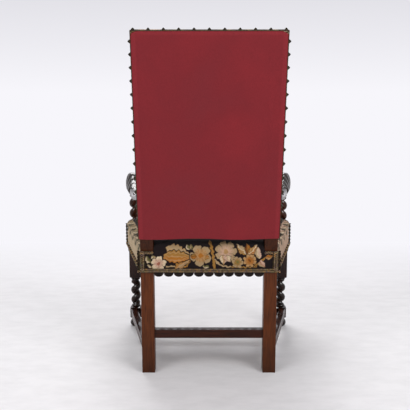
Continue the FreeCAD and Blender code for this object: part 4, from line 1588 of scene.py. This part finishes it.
def needlepoint_finish():
    """Wool stitches in slanting rows over the woven colours, with painted shade between the rows."""
    material, tree, shader = new_material("needlepoint")
    flat = add_node(tree, "ShaderNodeUVMap", uv_map="stitches").outputs["UV"]
    slanted = placed(tree, "ShaderNodeMapping", flat, {"Rotation": (0.0, 0.0, 0.6)})["Vector"]
    rows = wave_of(tree, slanted, "X", scale=160.0, distortion=1.2, detail=1.0)
    raised_wool = maths(tree, "MULTIPLY", rows, wave_of(tree, flat, "Y", scale=160.0, distortion=0.5))
    # Painted shade in the gaps between the raised stitch rows
    painted_stitch_shade = ramp_of(tree, raised_wool, (0.0, grey(0.62)), (0.45, grey(1.0)))
    wool = times(tree, attribute_of(tree, "needlepoint")["Color"], painted_stitch_shade, share=0.7)
    fade = noise_of(tree, object_place(tree), scale=14.0, detail=4.0, roughness=0.6)
    aged = ramp_of(tree, fade, (0.30, (0.80, 0.78, 0.74)), (0.62, grey(1.0)))
    colour_shader(shader, times(tree, wool, aged))
    set_values(shader, {"Roughness": 0.92, "Specular IOR Level": CLOTH_SHINE, "Sheen Weight": 0.08})
    bumped(shader, raised_wool, strength=0.6, distance=0.0009)
    return material


# Stuffed pieces

PAD_VOXEL = 0.006
PAD_MERGE = 1e-5
STUFFING_PRESSURE = 4.0
STUFFING_FRAMES = 20


def merged_copy(node, name):
    """Closed copy of a node's mesh."""
    twin = copy_of(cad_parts[node], name)
    twin.parent = None
    for key in list(twin.keys()):
        del twin[key]
    merge(twin, PAD_MERGE)
    object_mode()
    return twin


def swell(pad, held, limit):
    """Blows a pad up as cloth under pressure, with its held points fixed and its travel limited."""
    before = points_of(pad)
    pins = pad.vertex_groups.new(name="held")
    pins.add(np.nonzero(held)[0].tolist(), 1.0, "REPLACE")
    pick(pad)
    cloth = pad.modifiers.new("stuffing", "CLOTH")
    cloth.settings.use_pressure = True
    cloth.settings.uniform_pressure_force = STUFFING_PRESSURE
    cloth.settings.vertex_group_mass = "held"
    cloth.settings.effector_weights.gravity = 0.0
    cloth.settings.quality = 4
    cloth.collision_settings.use_collision = False
    scene = bpy.context.scene
    for step in range(1, STUFFING_FRAMES + 1):
        scene.frame_set(step)
    bpy.ops.object.modifier_apply(modifier=cloth.name)
    scene.frame_set(1)
    moved = points_of(pad) - before
    travel = np.linalg.norm(moved, axis=1, keepdims=True)
    place_points(pad, before + moved * np.minimum(1.0, limit / np.maximum(travel, 1e-9)))
    pad.vertex_groups.clear()


def remesh(pad):
    pad.data.remesh_voxel_size = PAD_VOXEL
    pick(pad)
    bpy.ops.object.voxel_remesh()
    apply_modifier(pad, "SMOOTH", factor=0.5, iterations=4)


class ARMCHAIR_OT_seat(bpy.types.Operator):
    """Stuffs the seat and covers it in floral needlepoint down over the rails"""

    bl_idname = "armchair.seat"
    bl_label = "Seat"

    cover = 0.0040
    wall = 0.009
    side_low = 0.372
    rear_low = 0.382
    rim_low = 0.422
    top = 0.4480
    hollow_top = 0.4405
    tab_top = 0.452
    swell_limit = 0.009
    skirt_margin = 0.002
    post_margin = 0.012
    column_margin = 0.032
    cut_gap = 0.0006
    cut_start = 0.001
    underside = -0.9
    fine_depth = 0.045
    fine_facing = 0.3
    fine_smoothness = 0.6
    tight_start = 0.14
    tight_share = 0.25
    field_seed = 11
    field_low = (-0.42, -0.42)
    field_high = (0.42, 0.19)
    field_spacing = 0.105
    rear_margin = 0.030
    rear_half = 0.255
    side_start = 0.246
    side_flare = 0.219
    side_rows = 6
    side_first = 0.20
    side_pitch = 0.085
    side_margin = 0.030
    stalk_width = 0.0085
    long_leaf_half = 0.016
    short_leaf_half = 0.012

    def execute(self, context):
        seat = join([merged_copy("seat_pad", "seat"), self.skirt(), *self.tabs()], "needlepoint_seat")
        remesh(seat)
        swell(seat, self.held(*points_of(seat).T), self.swell_limit)
        apply_modifier(seat, "SUBSURF", levels=1, render_levels=1)
        self.clear_posts(seat)
        self.cover_in_needlepoint(seat)
        smooth(seat, degrees=80.0)
        settle(seat, needlepoint_finish(), "needlepoint", "seat_pad", "seat_cover_rear", "seat_cover_front",
               "seat_cover_left", "seat_cover_right", "seat_base_cloth")
        return {"FINISHED"}

    def skirt(self):
        """Open-bottomed shell that hangs from the pad over the rails."""
        plan = seat_plan(self.cover)
        corners = plan + [Vector((-place.x, place.y, 0.0)) for place in reversed(plan)]
        skirt = disc("seat_skirt", len(corners))
        rear = plan[0].y
        lows = [self.rear_low if place.y == rear else self.side_low for place in corners]
        place_points(skirt, np.array([(place.x, place.y, low) for place, low in zip(corners, lows)]))
        edit_all()
        extrude(up(self.top - self.side_low))
        object_mode()
        points = points_of(skirt)
        points[points[:, 2] > self.rim_low, 2] = self.top
        place_points(skirt, points)
        outward(skirt)
        select_faces(skirt, lambda face: face.normal.z < self.underside)
        bpy.ops.mesh.inset(thickness=self.wall, depth=0.0)
        extrude(up(self.hollow_top - self.side_low))
        object_mode()
        return skirt

    def tabs(self):
        """Tongues of the cover up the rear faces of the back posts."""
        rear = seat_plan(self.cover)[0]
        inner = rear.x - self.cover - sizes().post_size
        size = (rear.x - inner, self.wall, self.tab_top - self.rear_low)
        return [brick("post_tab", (side * (inner + rear.x) / 2, rear.y - self.wall / 2,
                                   (self.rear_low + self.tab_top) / 2), size) for side in (-1, 1)]

    def held(self, x, y, z):
        """Points that the tacks hold: the skirt, and the cover round the posts and columns."""
        low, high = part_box("back_post_left")
        column = front_axis()
        x = np.abs(x)
        near_post = (x > low.x - self.post_margin) & (y > low.y - self.post_margin)
        near_column = np.hypot(x - column.x, y - column.y) < self.column_margin
        return (z < self.hollow_top + self.skirt_margin) | near_post | near_column

    def clear_posts(self, seat):
        """Draws the cover back from the posts and columns that it is cut round."""
        x, y, z = points_of(seat).T
        low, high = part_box("back_post_left")
        column = front_axis()
        cut_x = low.x - self.cut_gap
        cut_y = low.y - self.cut_gap
        above = z > self.tab_top + self.cut_start
        side = np.sign(x)
        x = np.abs(x)
        in_post = above & (x > cut_x) & (y > cut_y) & (y < bend_depth())
        push_x = in_post & (x - cut_x < y - cut_y)
        push_y = in_post & ~push_x
        x = np.where(push_x, cut_x, x)
        y = np.where(push_y, cut_y, y)
        reach = np.hypot(x - column.x, y - column.y)
        need = ARMCHAIR_OT_front_posts.column_radius + self.cut_gap
        scale = np.where(above & (reach < need), need / np.maximum(reach, TINY), 1.0)
        place_columns(seat, side * (column.x + (x - column.x) * scale), column.y + (y - column.y) * scale, z)

    def cover_in_needlepoint(self, seat):
        """Lays the flat pattern over the top and down each side, drawn tight over the rear edge."""
        self.refine_rear(seat)
        x, y, z = points_of(seat).T
        facing_x, facing_y, facing_z = normals_of(seat).T
        level = np.maximum(np.hypot(facing_x, facing_y), TINY)
        crown = z.max()
        drop = crown - z
        rear = seat_plan(self.cover)[0].y
        tight = np.maximum(y, self.tight_start)
        run = rear - (rear - tight) * self.tight_share + y - tight
        motifs = scattered_motifs(self.field_seed, self.field_low, self.field_high, self.field_spacing)
        motifs += self.side_motifs()
        motifs += [self.plain_rear(rear - self.rear_margin)]
        motifs += rear_band_motifs(rear + crown)
        stitch(seat, x + drop * facing_x / level, run + drop * facing_y / level, motifs)

    def plain_rear(self, start):
        """Dark ground behind the flowers at the rear."""

        def paint(u, v, tints):
            tints[(v > start) & (np.abs(u) < self.rear_half)] = GROUND

        return paint

    def refine_rear(self, seat):
        """Divides the faces at the rear once more, for the finer drawing there."""
        start = seat_plan(self.cover)[0].y - self.fine_depth

        def drawn(face):
            upright = face.normal.y + face.normal.z > self.fine_facing
            return upright and face.center.y > start and face.center.z > self.rear_low

        select_faces(seat, drawn)
        bpy.ops.mesh.subdivide(number_cuts=1, smoothness=self.fine_smoothness)
        object_mode()

    def side_line(self, v):
        """Where the side of the seat starts on the flat pattern."""
        return self.side_start + (self.side_flare - v) * self.side_flare

    def beside(self, side, v):
        """Maker of places on a side of the seat: out from its upper edge, and to the rear of a row."""
        edge = self.side_line(v)
        return lambda out, back: (side * (edge + out), v + back)

    def side_motifs(self):
        """Pale sides with long leaves and dark slanting stalks."""
        motifs = []
        for side, field, tints in ((1, 0.6 * CREAM + 0.4 * BEIGE, (CREAM, BEIGE, OLIVE)),
                                   (-1, 0.6 * PINK + 0.3 * BEIGE, (PINK, CREAM, RUST))):
            motifs.append(self.pale_side(side, field))
            for row in range(self.side_rows):
                at = self.beside(side, self.side_first - row * self.side_pitch)
                motifs.append(stem(at(0.005, 0.030), at(0.030, 0.010), at(0.075, -0.050),
                                   self.stalk_width, OLIVE))
                motifs.append(leaf(at(0.010, -0.005), at(0.050, -0.060), self.long_leaf_half, *tints))
                motifs.append(leaf(at(0.070, 0.020), at(0.035, -0.020), self.short_leaf_half, *tints))
        return motifs

    def pale_side(self, side, tint):
        """Pale wool over one side of the seat, with a dark margin along its upper edge."""

        def paint(u, v, tints):
            inside = self.side_line(v) - side * u
            tints[inside < self.side_margin] = GROUND
            tints[inside < 0.0] = tint

        return paint


class ARMCHAIR_OT_back_pad(bpy.types.Operator):
    """Stuffs the front of the back and covers it in floral needlepoint"""

    bl_idname = "armchair.back_pad"
    bl_label = "Back pad"

    crown = 0.055
    held_depth = 0.012
    swell_limit = 0.008
    fold_start = 0.35
    fold_range = 0.40
    field_seed = 23
    field_low = (-0.36, 0.0)
    field_high = (0.36, 0.88)
    field_spacing = 0.12
    wrap_voxel = 0.0014
    wrap_share = 0.35

    def execute(self, context):
        finish = needlepoint_finish()
        pad = merged_copy("back_pad", "needlepoint_back")
        remesh(pad)
        x, slope, depth = self.place_of(pad)
        swell(pad, depth < self.held_depth, self.swell_limit)
        apply_modifier(pad, "SUBSURF", levels=1, render_levels=1)
        self.cover_in_needlepoint(pad)
        smooth(pad, degrees=80.0)
        settle(pad, finish, "needlepoint", "back_pad", "back_webbing", "back_base_cloth")
        wraps = {f"back_wrap_{side}": self.side_cover(side) for side in ("left", "right", "top")}
        settle_all(wraps, finish, "needlepoint", degrees=60.0)
        return {"FINISHED"}

    def place_of(self, piece):
        """Way across, up the slope and out in front of the posts' front faces, for every point."""
        x, y, z = points_of(piece).T
        slope, out = from_back(y, z)
        return x, slope, -out - sizes().post_size

    def cover_in_needlepoint(self, piece):
        """Lays the flat pattern over the front and folds it back over the sides and the top."""
        x, slope, depth = self.place_of(piece)
        facing_x, facing_y, facing_z = normals_of(piece).T
        sine, cosine = lean()
        up = facing_y * sine + facing_z * cosine
        level = np.maximum(np.hypot(facing_x, up), TINY)
        drop = (self.crown - depth) * clipped((level - self.fold_start) / self.fold_range) / level
        motifs = scattered_motifs(self.field_seed, self.field_low, self.field_high, self.field_spacing)
        stitch(piece, x + drop * facing_x, slope + drop * up, motifs)

    def side_cover(self, side):
        """Cloth drawn over a side of the back, subdivided finely enough for its stitches."""
        cover = merged_copy(f"back_wrap_{side}", f"back_side_{side}")
        apply_modifier(cover, "REMESH", mode="VOXEL", voxel_size=self.wrap_voxel)
        apply_modifier(cover, "DECIMATE", ratio=self.wrap_share)
        self.cover_in_needlepoint(cover)
        return cover


# Trim

RIBBON_DEPTH = 0.4
RIBBON_WIDTH = 0.94
CORD_SIDES = 6
CORD_RINGS = 10
BEAD_SIDES = 8
BEAD_RINGS = 5


def toned(piece, level):
    """Marks how light the strands of a trim piece are."""
    colour_points(piece, "strands", np.tile((level, level, level, 1.0), len(piece.data.vertices)))
    return piece


def ribbon(width, pitch, depth, level):
    """Flat strip under one repeat of a trim."""
    strip = brick("trim_ribbon", (pitch / 2, RIBBON_DEPTH * depth / 2, 0.0),
                  (pitch, RIBBON_DEPTH * depth, RIBBON_WIDTH * width))
    return toned(strip, level)


def cord(pitch, radius, level, swing_out=0.0, swing_side=0.0, phase=0.0):
    """Strand along X that swings out and sideways once in each repeat."""
    strand = straight_bar("trim_cord", CORD_SIDES, CORD_RINGS, squareness=1.0)
    x, y, z = points_of(strand).T
    turn = 2 * math.pi * z + phase
    place_columns(strand, z * pitch, radius + swing_out * (1.0 + np.cos(turn)) + radius * x,
                  swing_side * np.sin(turn) + radius * y)
    return toned(strand, level)


def linked_unit(width, pitch, depth):
    """One repeat of a chain-like braid: two pale cords that cross on a dark ribbon with corded edges."""
    made = [ribbon(width, pitch, depth, level=0.04)]
    for phase in (0.0, math.pi):
        made.append(cord(pitch, 0.075 * width, level=2.2, swing_out=0.2 * depth, swing_side=0.27 * width,
                         phase=phase))
    for side in (-1, 1):
        edge = cord(pitch, 0.07 * width, level=0.3)
        made.append(moved_to(edge, Matrix.Translation(up(side * 0.43 * width))))
    return join(made, "linked_unit")


def rope_unit(width, pitch, thick, levels):
    """One repeat of a two-strand rope, as thick as a share of its width."""
    radius = 0.27 * width * thick
    swing_out = 0.23 * width * thick
    swing_side = 0.5 * width - radius
    made = [cord(pitch, radius, level, swing_out, swing_side, phase)
            for phase, level in zip((0.0, math.pi), levels)]
    return join(made, "rope_unit")


def braid_unit(width, pitch, depth):
    """One repeat of a plaited braid along X: two slanting strands on a ribbon, with corded edges."""
    made = [ribbon(width, pitch, depth, level=0.25)]
    for side in (-1, 1):
        for lift, long, tall, slant, level in ((0.24, 0.80, 0.19, 0.75, 1.0), (0.44, 0.62, 0.075, 0.35, 0.6)):
            strand = ball("braid_strand", BEAD_SIDES, BEAD_RINGS, (long * pitch, 0.5 * depth, tall * width),
                          location=(pitch / 2, 0.5 * depth, side * lift * width),
                          rotation=(0.0, side * slant, 0.0))
            made.append(toned(strand, level))
    return join(made, "braid_unit")


def upright_run(unit, pitch, place, tall, turn):
    """Upright run of a trim unit, its outer side turned about Z."""
    strip = straight_run(unit, tall, pitch, "upright_run")
    return moved_to(strip, Matrix.Translation(place) @ turned(turn, "Z") @ turned(-math.pi / 2, "Y"))


def straight_across(x, y, z):
    """Level path from one side of the chair to the other."""
    return [Vector((x, y, z)), Vector((-x, y, z))]


class ARMCHAIR_OT_braid(bpy.types.Operator):
    """Sews the plaited braid round the seat and along the edges of the back"""

    bl_idname = "armchair.braid"
    bl_label = "Braid"

    width = 0.014
    depth = 0.0026
    pitch = 0.0042
    offset = 0.0044
    linked_width = 0.022
    linked_pitch = 0.015
    tab_width = 0.013
    rope_width = 0.009
    rope_pitch = 0.024
    rope_levels = (0.30, 0.10)
    rope_top = 0.456
    rope_gap = 0.014
    end_gap = 0.003
    flat_pitch = 0.036
    flat_thick = 0.55
    flat_levels = (2.6, 0.10)
    front_corner = Vector((-0.001, -0.004, 0.0))
    rear_corner_in = 0.001
    rear_corner_forward = 0.006
    side_middle = 0.3725
    rear_middle = 0.3825
    tab_middle = 0.4465
    upright_top = 0.4525
    back_start = 0.043
    back_end = 0.7432
    back_lap = 0.002
    top_sink = 0.0005
    upright = Matrix(((0, 1, 0), (0, 0, -1), (-1, 0, 0))).to_4x4()
    lying = Matrix(((1, 0, 0), (0, 0, -1), (0, 1, 0))).to_4x4()

    def execute(self, context):
        finish = self.finish()
        unit = braid_unit(self.width, self.pitch, self.depth)
        linked = linked_unit(self.linked_width, self.linked_pitch, self.depth)
        small = linked_unit(self.tab_width, self.linked_pitch, self.depth)
        rope = rope_unit(self.rope_width, self.rope_pitch, 1.0, self.rope_levels)
        flat_rope = rope_unit(self.width, self.flat_pitch, self.flat_thick, self.flat_levels)
        self.seat_sides(unit, rope, flat_rope, finish)
        self.seat_rear(unit, linked, small, rope, finish)
        self.back_edges(unit, finish)
        remove(unit, linked, small, rope, flat_rope)
        return {"FINISHED"}

    def seat_sides(self, unit, rope, flat_rope, finish):
        """Rope along the seat's sides and up its front corners, and braid along the front."""
        plan = raised(seat_plan(self.offset), self.side_middle)
        plan[0].y -= self.rope_gap
        tall = self.rope_top - self.side_middle
        corner = plan[2] + self.front_corner
        left = join([run_along(flat_rope, plan, self.flat_pitch, "braid_left"),
                     upright_run(rope, self.rope_pitch, corner, tall, -math.pi / 2)], "braid_left")
        # Each repeat is closed, and merging them would leave caps inside the rope
        right = mirrored(left, "braid_right", merged=False)
        front = run_along(unit, straight_across(*plan[3]), self.pitch, "braid_front")
        settle_all({"seat_galon_left": left, "seat_galon_right": right, "seat_galon_front": front},
                   finish, "braid", degrees=60.0)

    def seat_rear(self, unit, linked, small, rope, finish):
        """Braid along the rear, up both corners and over the tabs on the posts."""
        corner = seat_plan(self.offset)[0]
        inner = corner.x - self.offset - sizes().post_size
        tall = self.upright_top - self.rear_middle
        level = straight_across(self.end_gap - corner.x, corner.y, self.rear_middle)
        pieces = [run_along(unit, level, self.pitch, "braid_rear")]
        for side in (-1, 1):
            over = [Vector((x, corner.y, self.tab_middle)) for x in sorted((side * inner, side * corner.x))]
            pieces.append(run_along(small, over, self.linked_pitch, "braid_tab"))
            place = Vector((side * (corner.x - self.linked_width / 2), corner.y, self.rear_middle))
            pieces.append(upright_run(linked, self.linked_pitch, place, tall, 0.0))
            edge = Vector((side * (corner.x - self.rear_corner_in), corner.y - self.rear_corner_forward,
                           self.rear_middle))
            pieces.append(upright_run(rope, self.rope_pitch, edge, tall, -side * math.pi / 2))
        settle_all({"seat_galon_rear": join(pieces, "braid_rear")}, finish, "braid", degrees=60.0)

    def back_edges(self, unit, finish):
        """Braid on the side faces and the top face of the back, near their rear edges."""
        low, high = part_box("back_galon_left")
        left = self.back_run(unit, self.back_end - self.back_start, low.x, self.back_end, self.upright,
                             "back_braid_left")
        right = mirrored(left, "back_braid_right")
        top = self.back_run(unit, 2 * high.x, -high.x, self.back_end - self.top_sink, self.lying,
                            "back_braid_top")
        settle_all({"back_galon_left": left, "back_galon_right": right, "back_galon_top": top},
                   finish, "braid", degrees=60.0)

    def back_run(self, unit, total, x, slope, turn, name):
        """Straight run of braid on the leaning back, from a place at its upper end."""
        strip = copy_of(unit, name)
        repeat(strip, round(total / self.pitch), total)
        start = Matrix.Translation((x, *on_back(slope, self.back_lap - self.width / 2)))
        moved_to(strip, start @ turned(-sizes().back_rake, "X") @ turn)
        outward(strip)
        return strip

    def finish(self):
        """Olive-brown wool braid flecked with ochre, violet and green, paler on its raised strands."""
        material, tree, shader = new_material("braid")
        place = object_place(tree)
        flecks = placed(tree, "ShaderNodeTexVoronoi", place, {"Scale": 210.0})
        chosen = add_node(tree, "ShaderNodeSeparateColor")
        wire(flecks["Color"], chosen.inputs["Color"])
        mixed = ramp_of(tree, chosen.outputs["Red"], (0.0, thread(84, 66, 50)), (0.30, thread(116, 98, 72)),
                        (0.52, thread(94, 74, 78)), (0.66, thread(140, 118, 86)),
                        (0.84, thread(94, 94, 70)), (0.94, thread(150, 112, 70)))
        strands = noise_of(tree, place, scale=700.0, detail=2.0, roughness=0.5)
        worked = times(tree, mixed, ramp_of(tree, strands, (0.32, grey(0.62)), (0.62, grey(1.05))))
        colour_shader(shader, times(tree, worked, attribute_of(tree, "strands")["Color"]))
        set_values(shader, {"Roughness": 0.88, "Specular IOR Level": CLOTH_SHINE})
        bumped(shader, strands, strength=0.4, distance=0.0005)
        return material


class ARMCHAIR_OT_scallops(bpy.types.Operator):
    """Hangs the black scalloped trim below the braid"""

    bl_idname = "armchair.scallops"
    bl_label = "Scallops"

    pitch = 0.036
    thickness = 0.0018
    rear_top = 0.3818
    rear_drop = 0.022
    side_top = 0.3718
    side_drop = 0.029
    offset = 0.0024
    end_gap = 0.006
    post_gap = 0.0003
    border = 0.0022
    border_height = 0.0009
    border_slope = 0.97
    lobe_sides = 32
    lobe_half = 0.495
    round_share = 0.62
    shoulder_start = -0.02
    shoulder_rise = 0.4
    shoulder_power = 0.15
    rim_margin = 1e-5

    def execute(self, context):
        plan = seat_plan(self.offset)
        run = (plan[2] - plan[1]).normalized() * self.end_gap
        side_unit = self.lobe(self.side_drop)
        rear_unit = self.lobe(self.rear_drop)
        left = run_along(side_unit, raised([plan[1] + run, plan[2] - run], self.side_top), self.pitch,
                         "scallops_left")
        right = mirrored(left, "scallops_right")
        front = run_along(side_unit, straight_across(plan[3].x - self.end_gap, plan[3].y, self.side_top),
                          self.pitch, "scallops_front")
        rear_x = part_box("back_post_left")[0].x - self.post_gap
        rear = run_along(rear_unit, straight_across(-rear_x, plan[0].y, self.rear_top), self.pitch,
                         "scallops_rear")
        remove(side_unit, rear_unit)
        settle_all({"seat_scallops_left": left, "seat_scallops_right": right, "seat_scallops_front": front,
                    "seat_scallops_rear": rear}, self.finish(), "black_scallops", degrees=40.0)
        return {"FINISHED"}

    def lobe(self, drop):
        """One round-ended tab that hangs from Z = 0, with a raised border."""
        lobe = disc("scallop", self.lobe_sides, rotation=(math.pi / 2, 0.0, 0.0))
        x, y, z = points_of(lobe).T
        depth = self.round_share * drop
        shoulder = drop - depth
        upper = z > self.shoulder_start
        x = np.where(upper, np.sign(x) * np.abs(x) ** self.shoulder_power, x)
        rise = np.clip(z, 0.0, self.shoulder_rise) / self.shoulder_rise
        z = np.where(upper, -shoulder * (1.0 - rise), z * depth - shoulder)
        place_columns(lobe, (x * self.lobe_half + 0.5) * self.pitch, y, z)
        edit_all()
        extrude((0.0, self.thickness, 0.0))
        middle = Vector((self.pitch / 2, self.thickness, -drop / 2))
        self.step_in(middle, 1.0 - 2 * self.border / self.pitch, 0.0)
        self.step_in(middle, self.border_slope, -self.border_height)
        outward(lobe)
        rim = points_of(lobe)[:, 1] > self.thickness - self.rim_margin
        colour_points(lobe, "strands", np.repeat(rim, 4))
        return lobe

    def step_in(self, middle, share, sink):
        """Extrudes the selected face, sinks it and draws it in towards the tab's middle."""
        extrude((0.0, sink, 0.0))
        bpy.ops.transform.resize(value=(share, 1.0, share), center_override=middle)

    def finish(self):
        """Black woven trim, worn a little brown, with a paler corded edge."""
        material, tree, shader = new_material("black_scallops")
        wear = noise_of(tree, object_place(tree), scale=60.0, detail=4.0, roughness=0.6)
        fine = object_place(tree, drawn_out(UPRIGHT, across_scale=900.0, along_scale=300.0))
        threads = noise_of(tree, fine, scale=1.0, detail=2.0, roughness=0.5)
        body = ramp_of(tree, wear, (0.35, thread(20, 16, 17)), (0.75, thread(44, 34, 30)))
        edge = ramp_of(tree, wear, (0.35, thread(40, 34, 29)), (0.75, thread(68, 58, 47)))
        colour_shader(shader, mix_colours(tree, attribute_of(tree, "strands")["Fac"], body, edge))
        set_values(shader, {"Roughness": 0.8, "Specular IOR Level": CLOTH_SHINE})
        bumped(shader, threads, strength=0.5, distance=0.0005)
        return material


class ARMCHAIR_OT_webbing(bpy.types.Operator):
    """Stretches woven straps over and under each other below the seat"""

    bl_idname = "armchair.webbing"
    bl_label = "Webbing"

    strap = 0.044
    strap_steps = 80
    width_steps = 6
    thickness = 0.0014
    middle = 0.4418
    weave = 0.0008
    across = 4
    forward = 5
    rail_inset = 0.016
    splay = 0.094

    def execute(self, context):
        low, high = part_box("seat_webbing")
        post_low, post_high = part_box("back_post_left")
        run = post_low.y - front_axis().y - ARMCHAIR_OT_front_posts.block_half
        spacing = 2 * post_low.x / (self.forward + 1)
        straps = []
        for index in range(self.across):
            share = (index + 1) / (self.across + 1)
            half = post_high.x - self.rail_inset + share * self.splay
            place = Vector((0.0, post_low.y - run * share, self.middle))
            straps.append(self.one(2 * half, place, 0.0, spacing, index))
        for index in range(self.forward):
            place = Vector((spacing * (index + 1) - post_low.x, (low.y + high.y) / 2, self.middle))
            straps.append(self.one(high.y - low.y, place, math.pi / 2, run / (self.across + 1), index + 1))
        settle(join(straps, "seat_straps"), self.finish(), "jute", "seat_webbing")
        return {"FINISHED"}

    def one(self, long, place, turn, spacing, phase):
        """Strap along X that rises and dips at each crossing."""
        strap = grid("strap", self.strap_steps, self.width_steps)
        x, y, z = points_of(strap).T
        rise = self.weave * np.sin(np.pi * (x * long / spacing + phase))
        place_columns(strap, x * long, y * self.strap, rise)
        apply_modifier(strap, "SOLIDIFY", thickness=self.thickness, offset=0.0)
        return moved_to(strap, Matrix.Translation(place) @ turned(turn, "Z"))

    def finish(self):
        """Coarse jute in a plain weave."""
        material, tree, shader = new_material("jute")
        place = object_place(tree)
        tone = noise_of(tree, place, scale=90.0, detail=4.0, roughness=0.6)
        colour_shader(shader, ramp_of(tree, tone, (0.35, thread(120, 94, 62)), (0.65, thread(168, 138, 96))))
        weave = [wave_of(tree, place, bands, scale=140.0) for bands in "XY"]
        set_values(shader, {"Roughness": 0.95})
        bumped(shader, maths(tree, "MULTIPLY", *weave), strength=0.6, distance=0.0008)
        return material


class ARMCHAIR_PT_panel(bpy.types.Panel):
    """Lists the steps that dress the armchair"""

    bl_idname = "ARMCHAIR_PT_panel"
    bl_label = "Armchair"
    bl_space_type = "VIEW_3D"
    bl_region_type = "UI"
    bl_category = "Armchair"

    def draw(self, context):
        for step in steps:
            self.layout.operator(step.bl_idname)
        for key, group in groups.items():
            box = self.layout.box()
            for name in group.__annotations__:
                box.prop(getattr(context.scene, key), name)


groups = {
    "armchair_stage": ArmchairStage,
    "armchair_sizes": ArmchairSizes,
    "armchair_colours": ArmchairColours,
}
steps = (
    ARMCHAIR_OT_stage,
    ARMCHAIR_OT_woodwork,
    ARMCHAIR_OT_front_posts,
    ARMCHAIR_OT_arms,
    ARMCHAIR_OT_seat,
    ARMCHAIR_OT_back_pad,
    ARMCHAIR_OT_back_cloth,
    ARMCHAIR_OT_braid,
    ARMCHAIR_OT_scallops,
    ARMCHAIR_OT_nails,
    ARMCHAIR_OT_webbing,
)


def register():
    for made in (*groups.values(), *steps, ARMCHAIR_PT_panel):
        bpy.utils.register_class(made)
    for key, group in groups.items():
        setattr(bpy.types.Scene, key, bpy.props.PointerProperty(type=group))


def unregister():
    for key in groups:
        delattr(bpy.types.Scene, key)
    for made in (ARMCHAIR_PT_panel, *steps, *groups.values()):
        bpy.utils.unregister_class(made)


def main():
    register()
    bpy.ops.armchair.stage()
    bpy.ops.armchair.woodwork()
    bpy.ops.armchair.front_posts()
    bpy.ops.armchair.arms()
    bpy.ops.armchair.seat()
    bpy.ops.armchair.back_pad()
    bpy.ops.armchair.back_cloth()
    bpy.ops.armchair.braid()
    bpy.ops.armchair.scallops()
    bpy.ops.armchair.nails()
    bpy.ops.armchair.webbing()


if __name__ == "__main__":
    main()
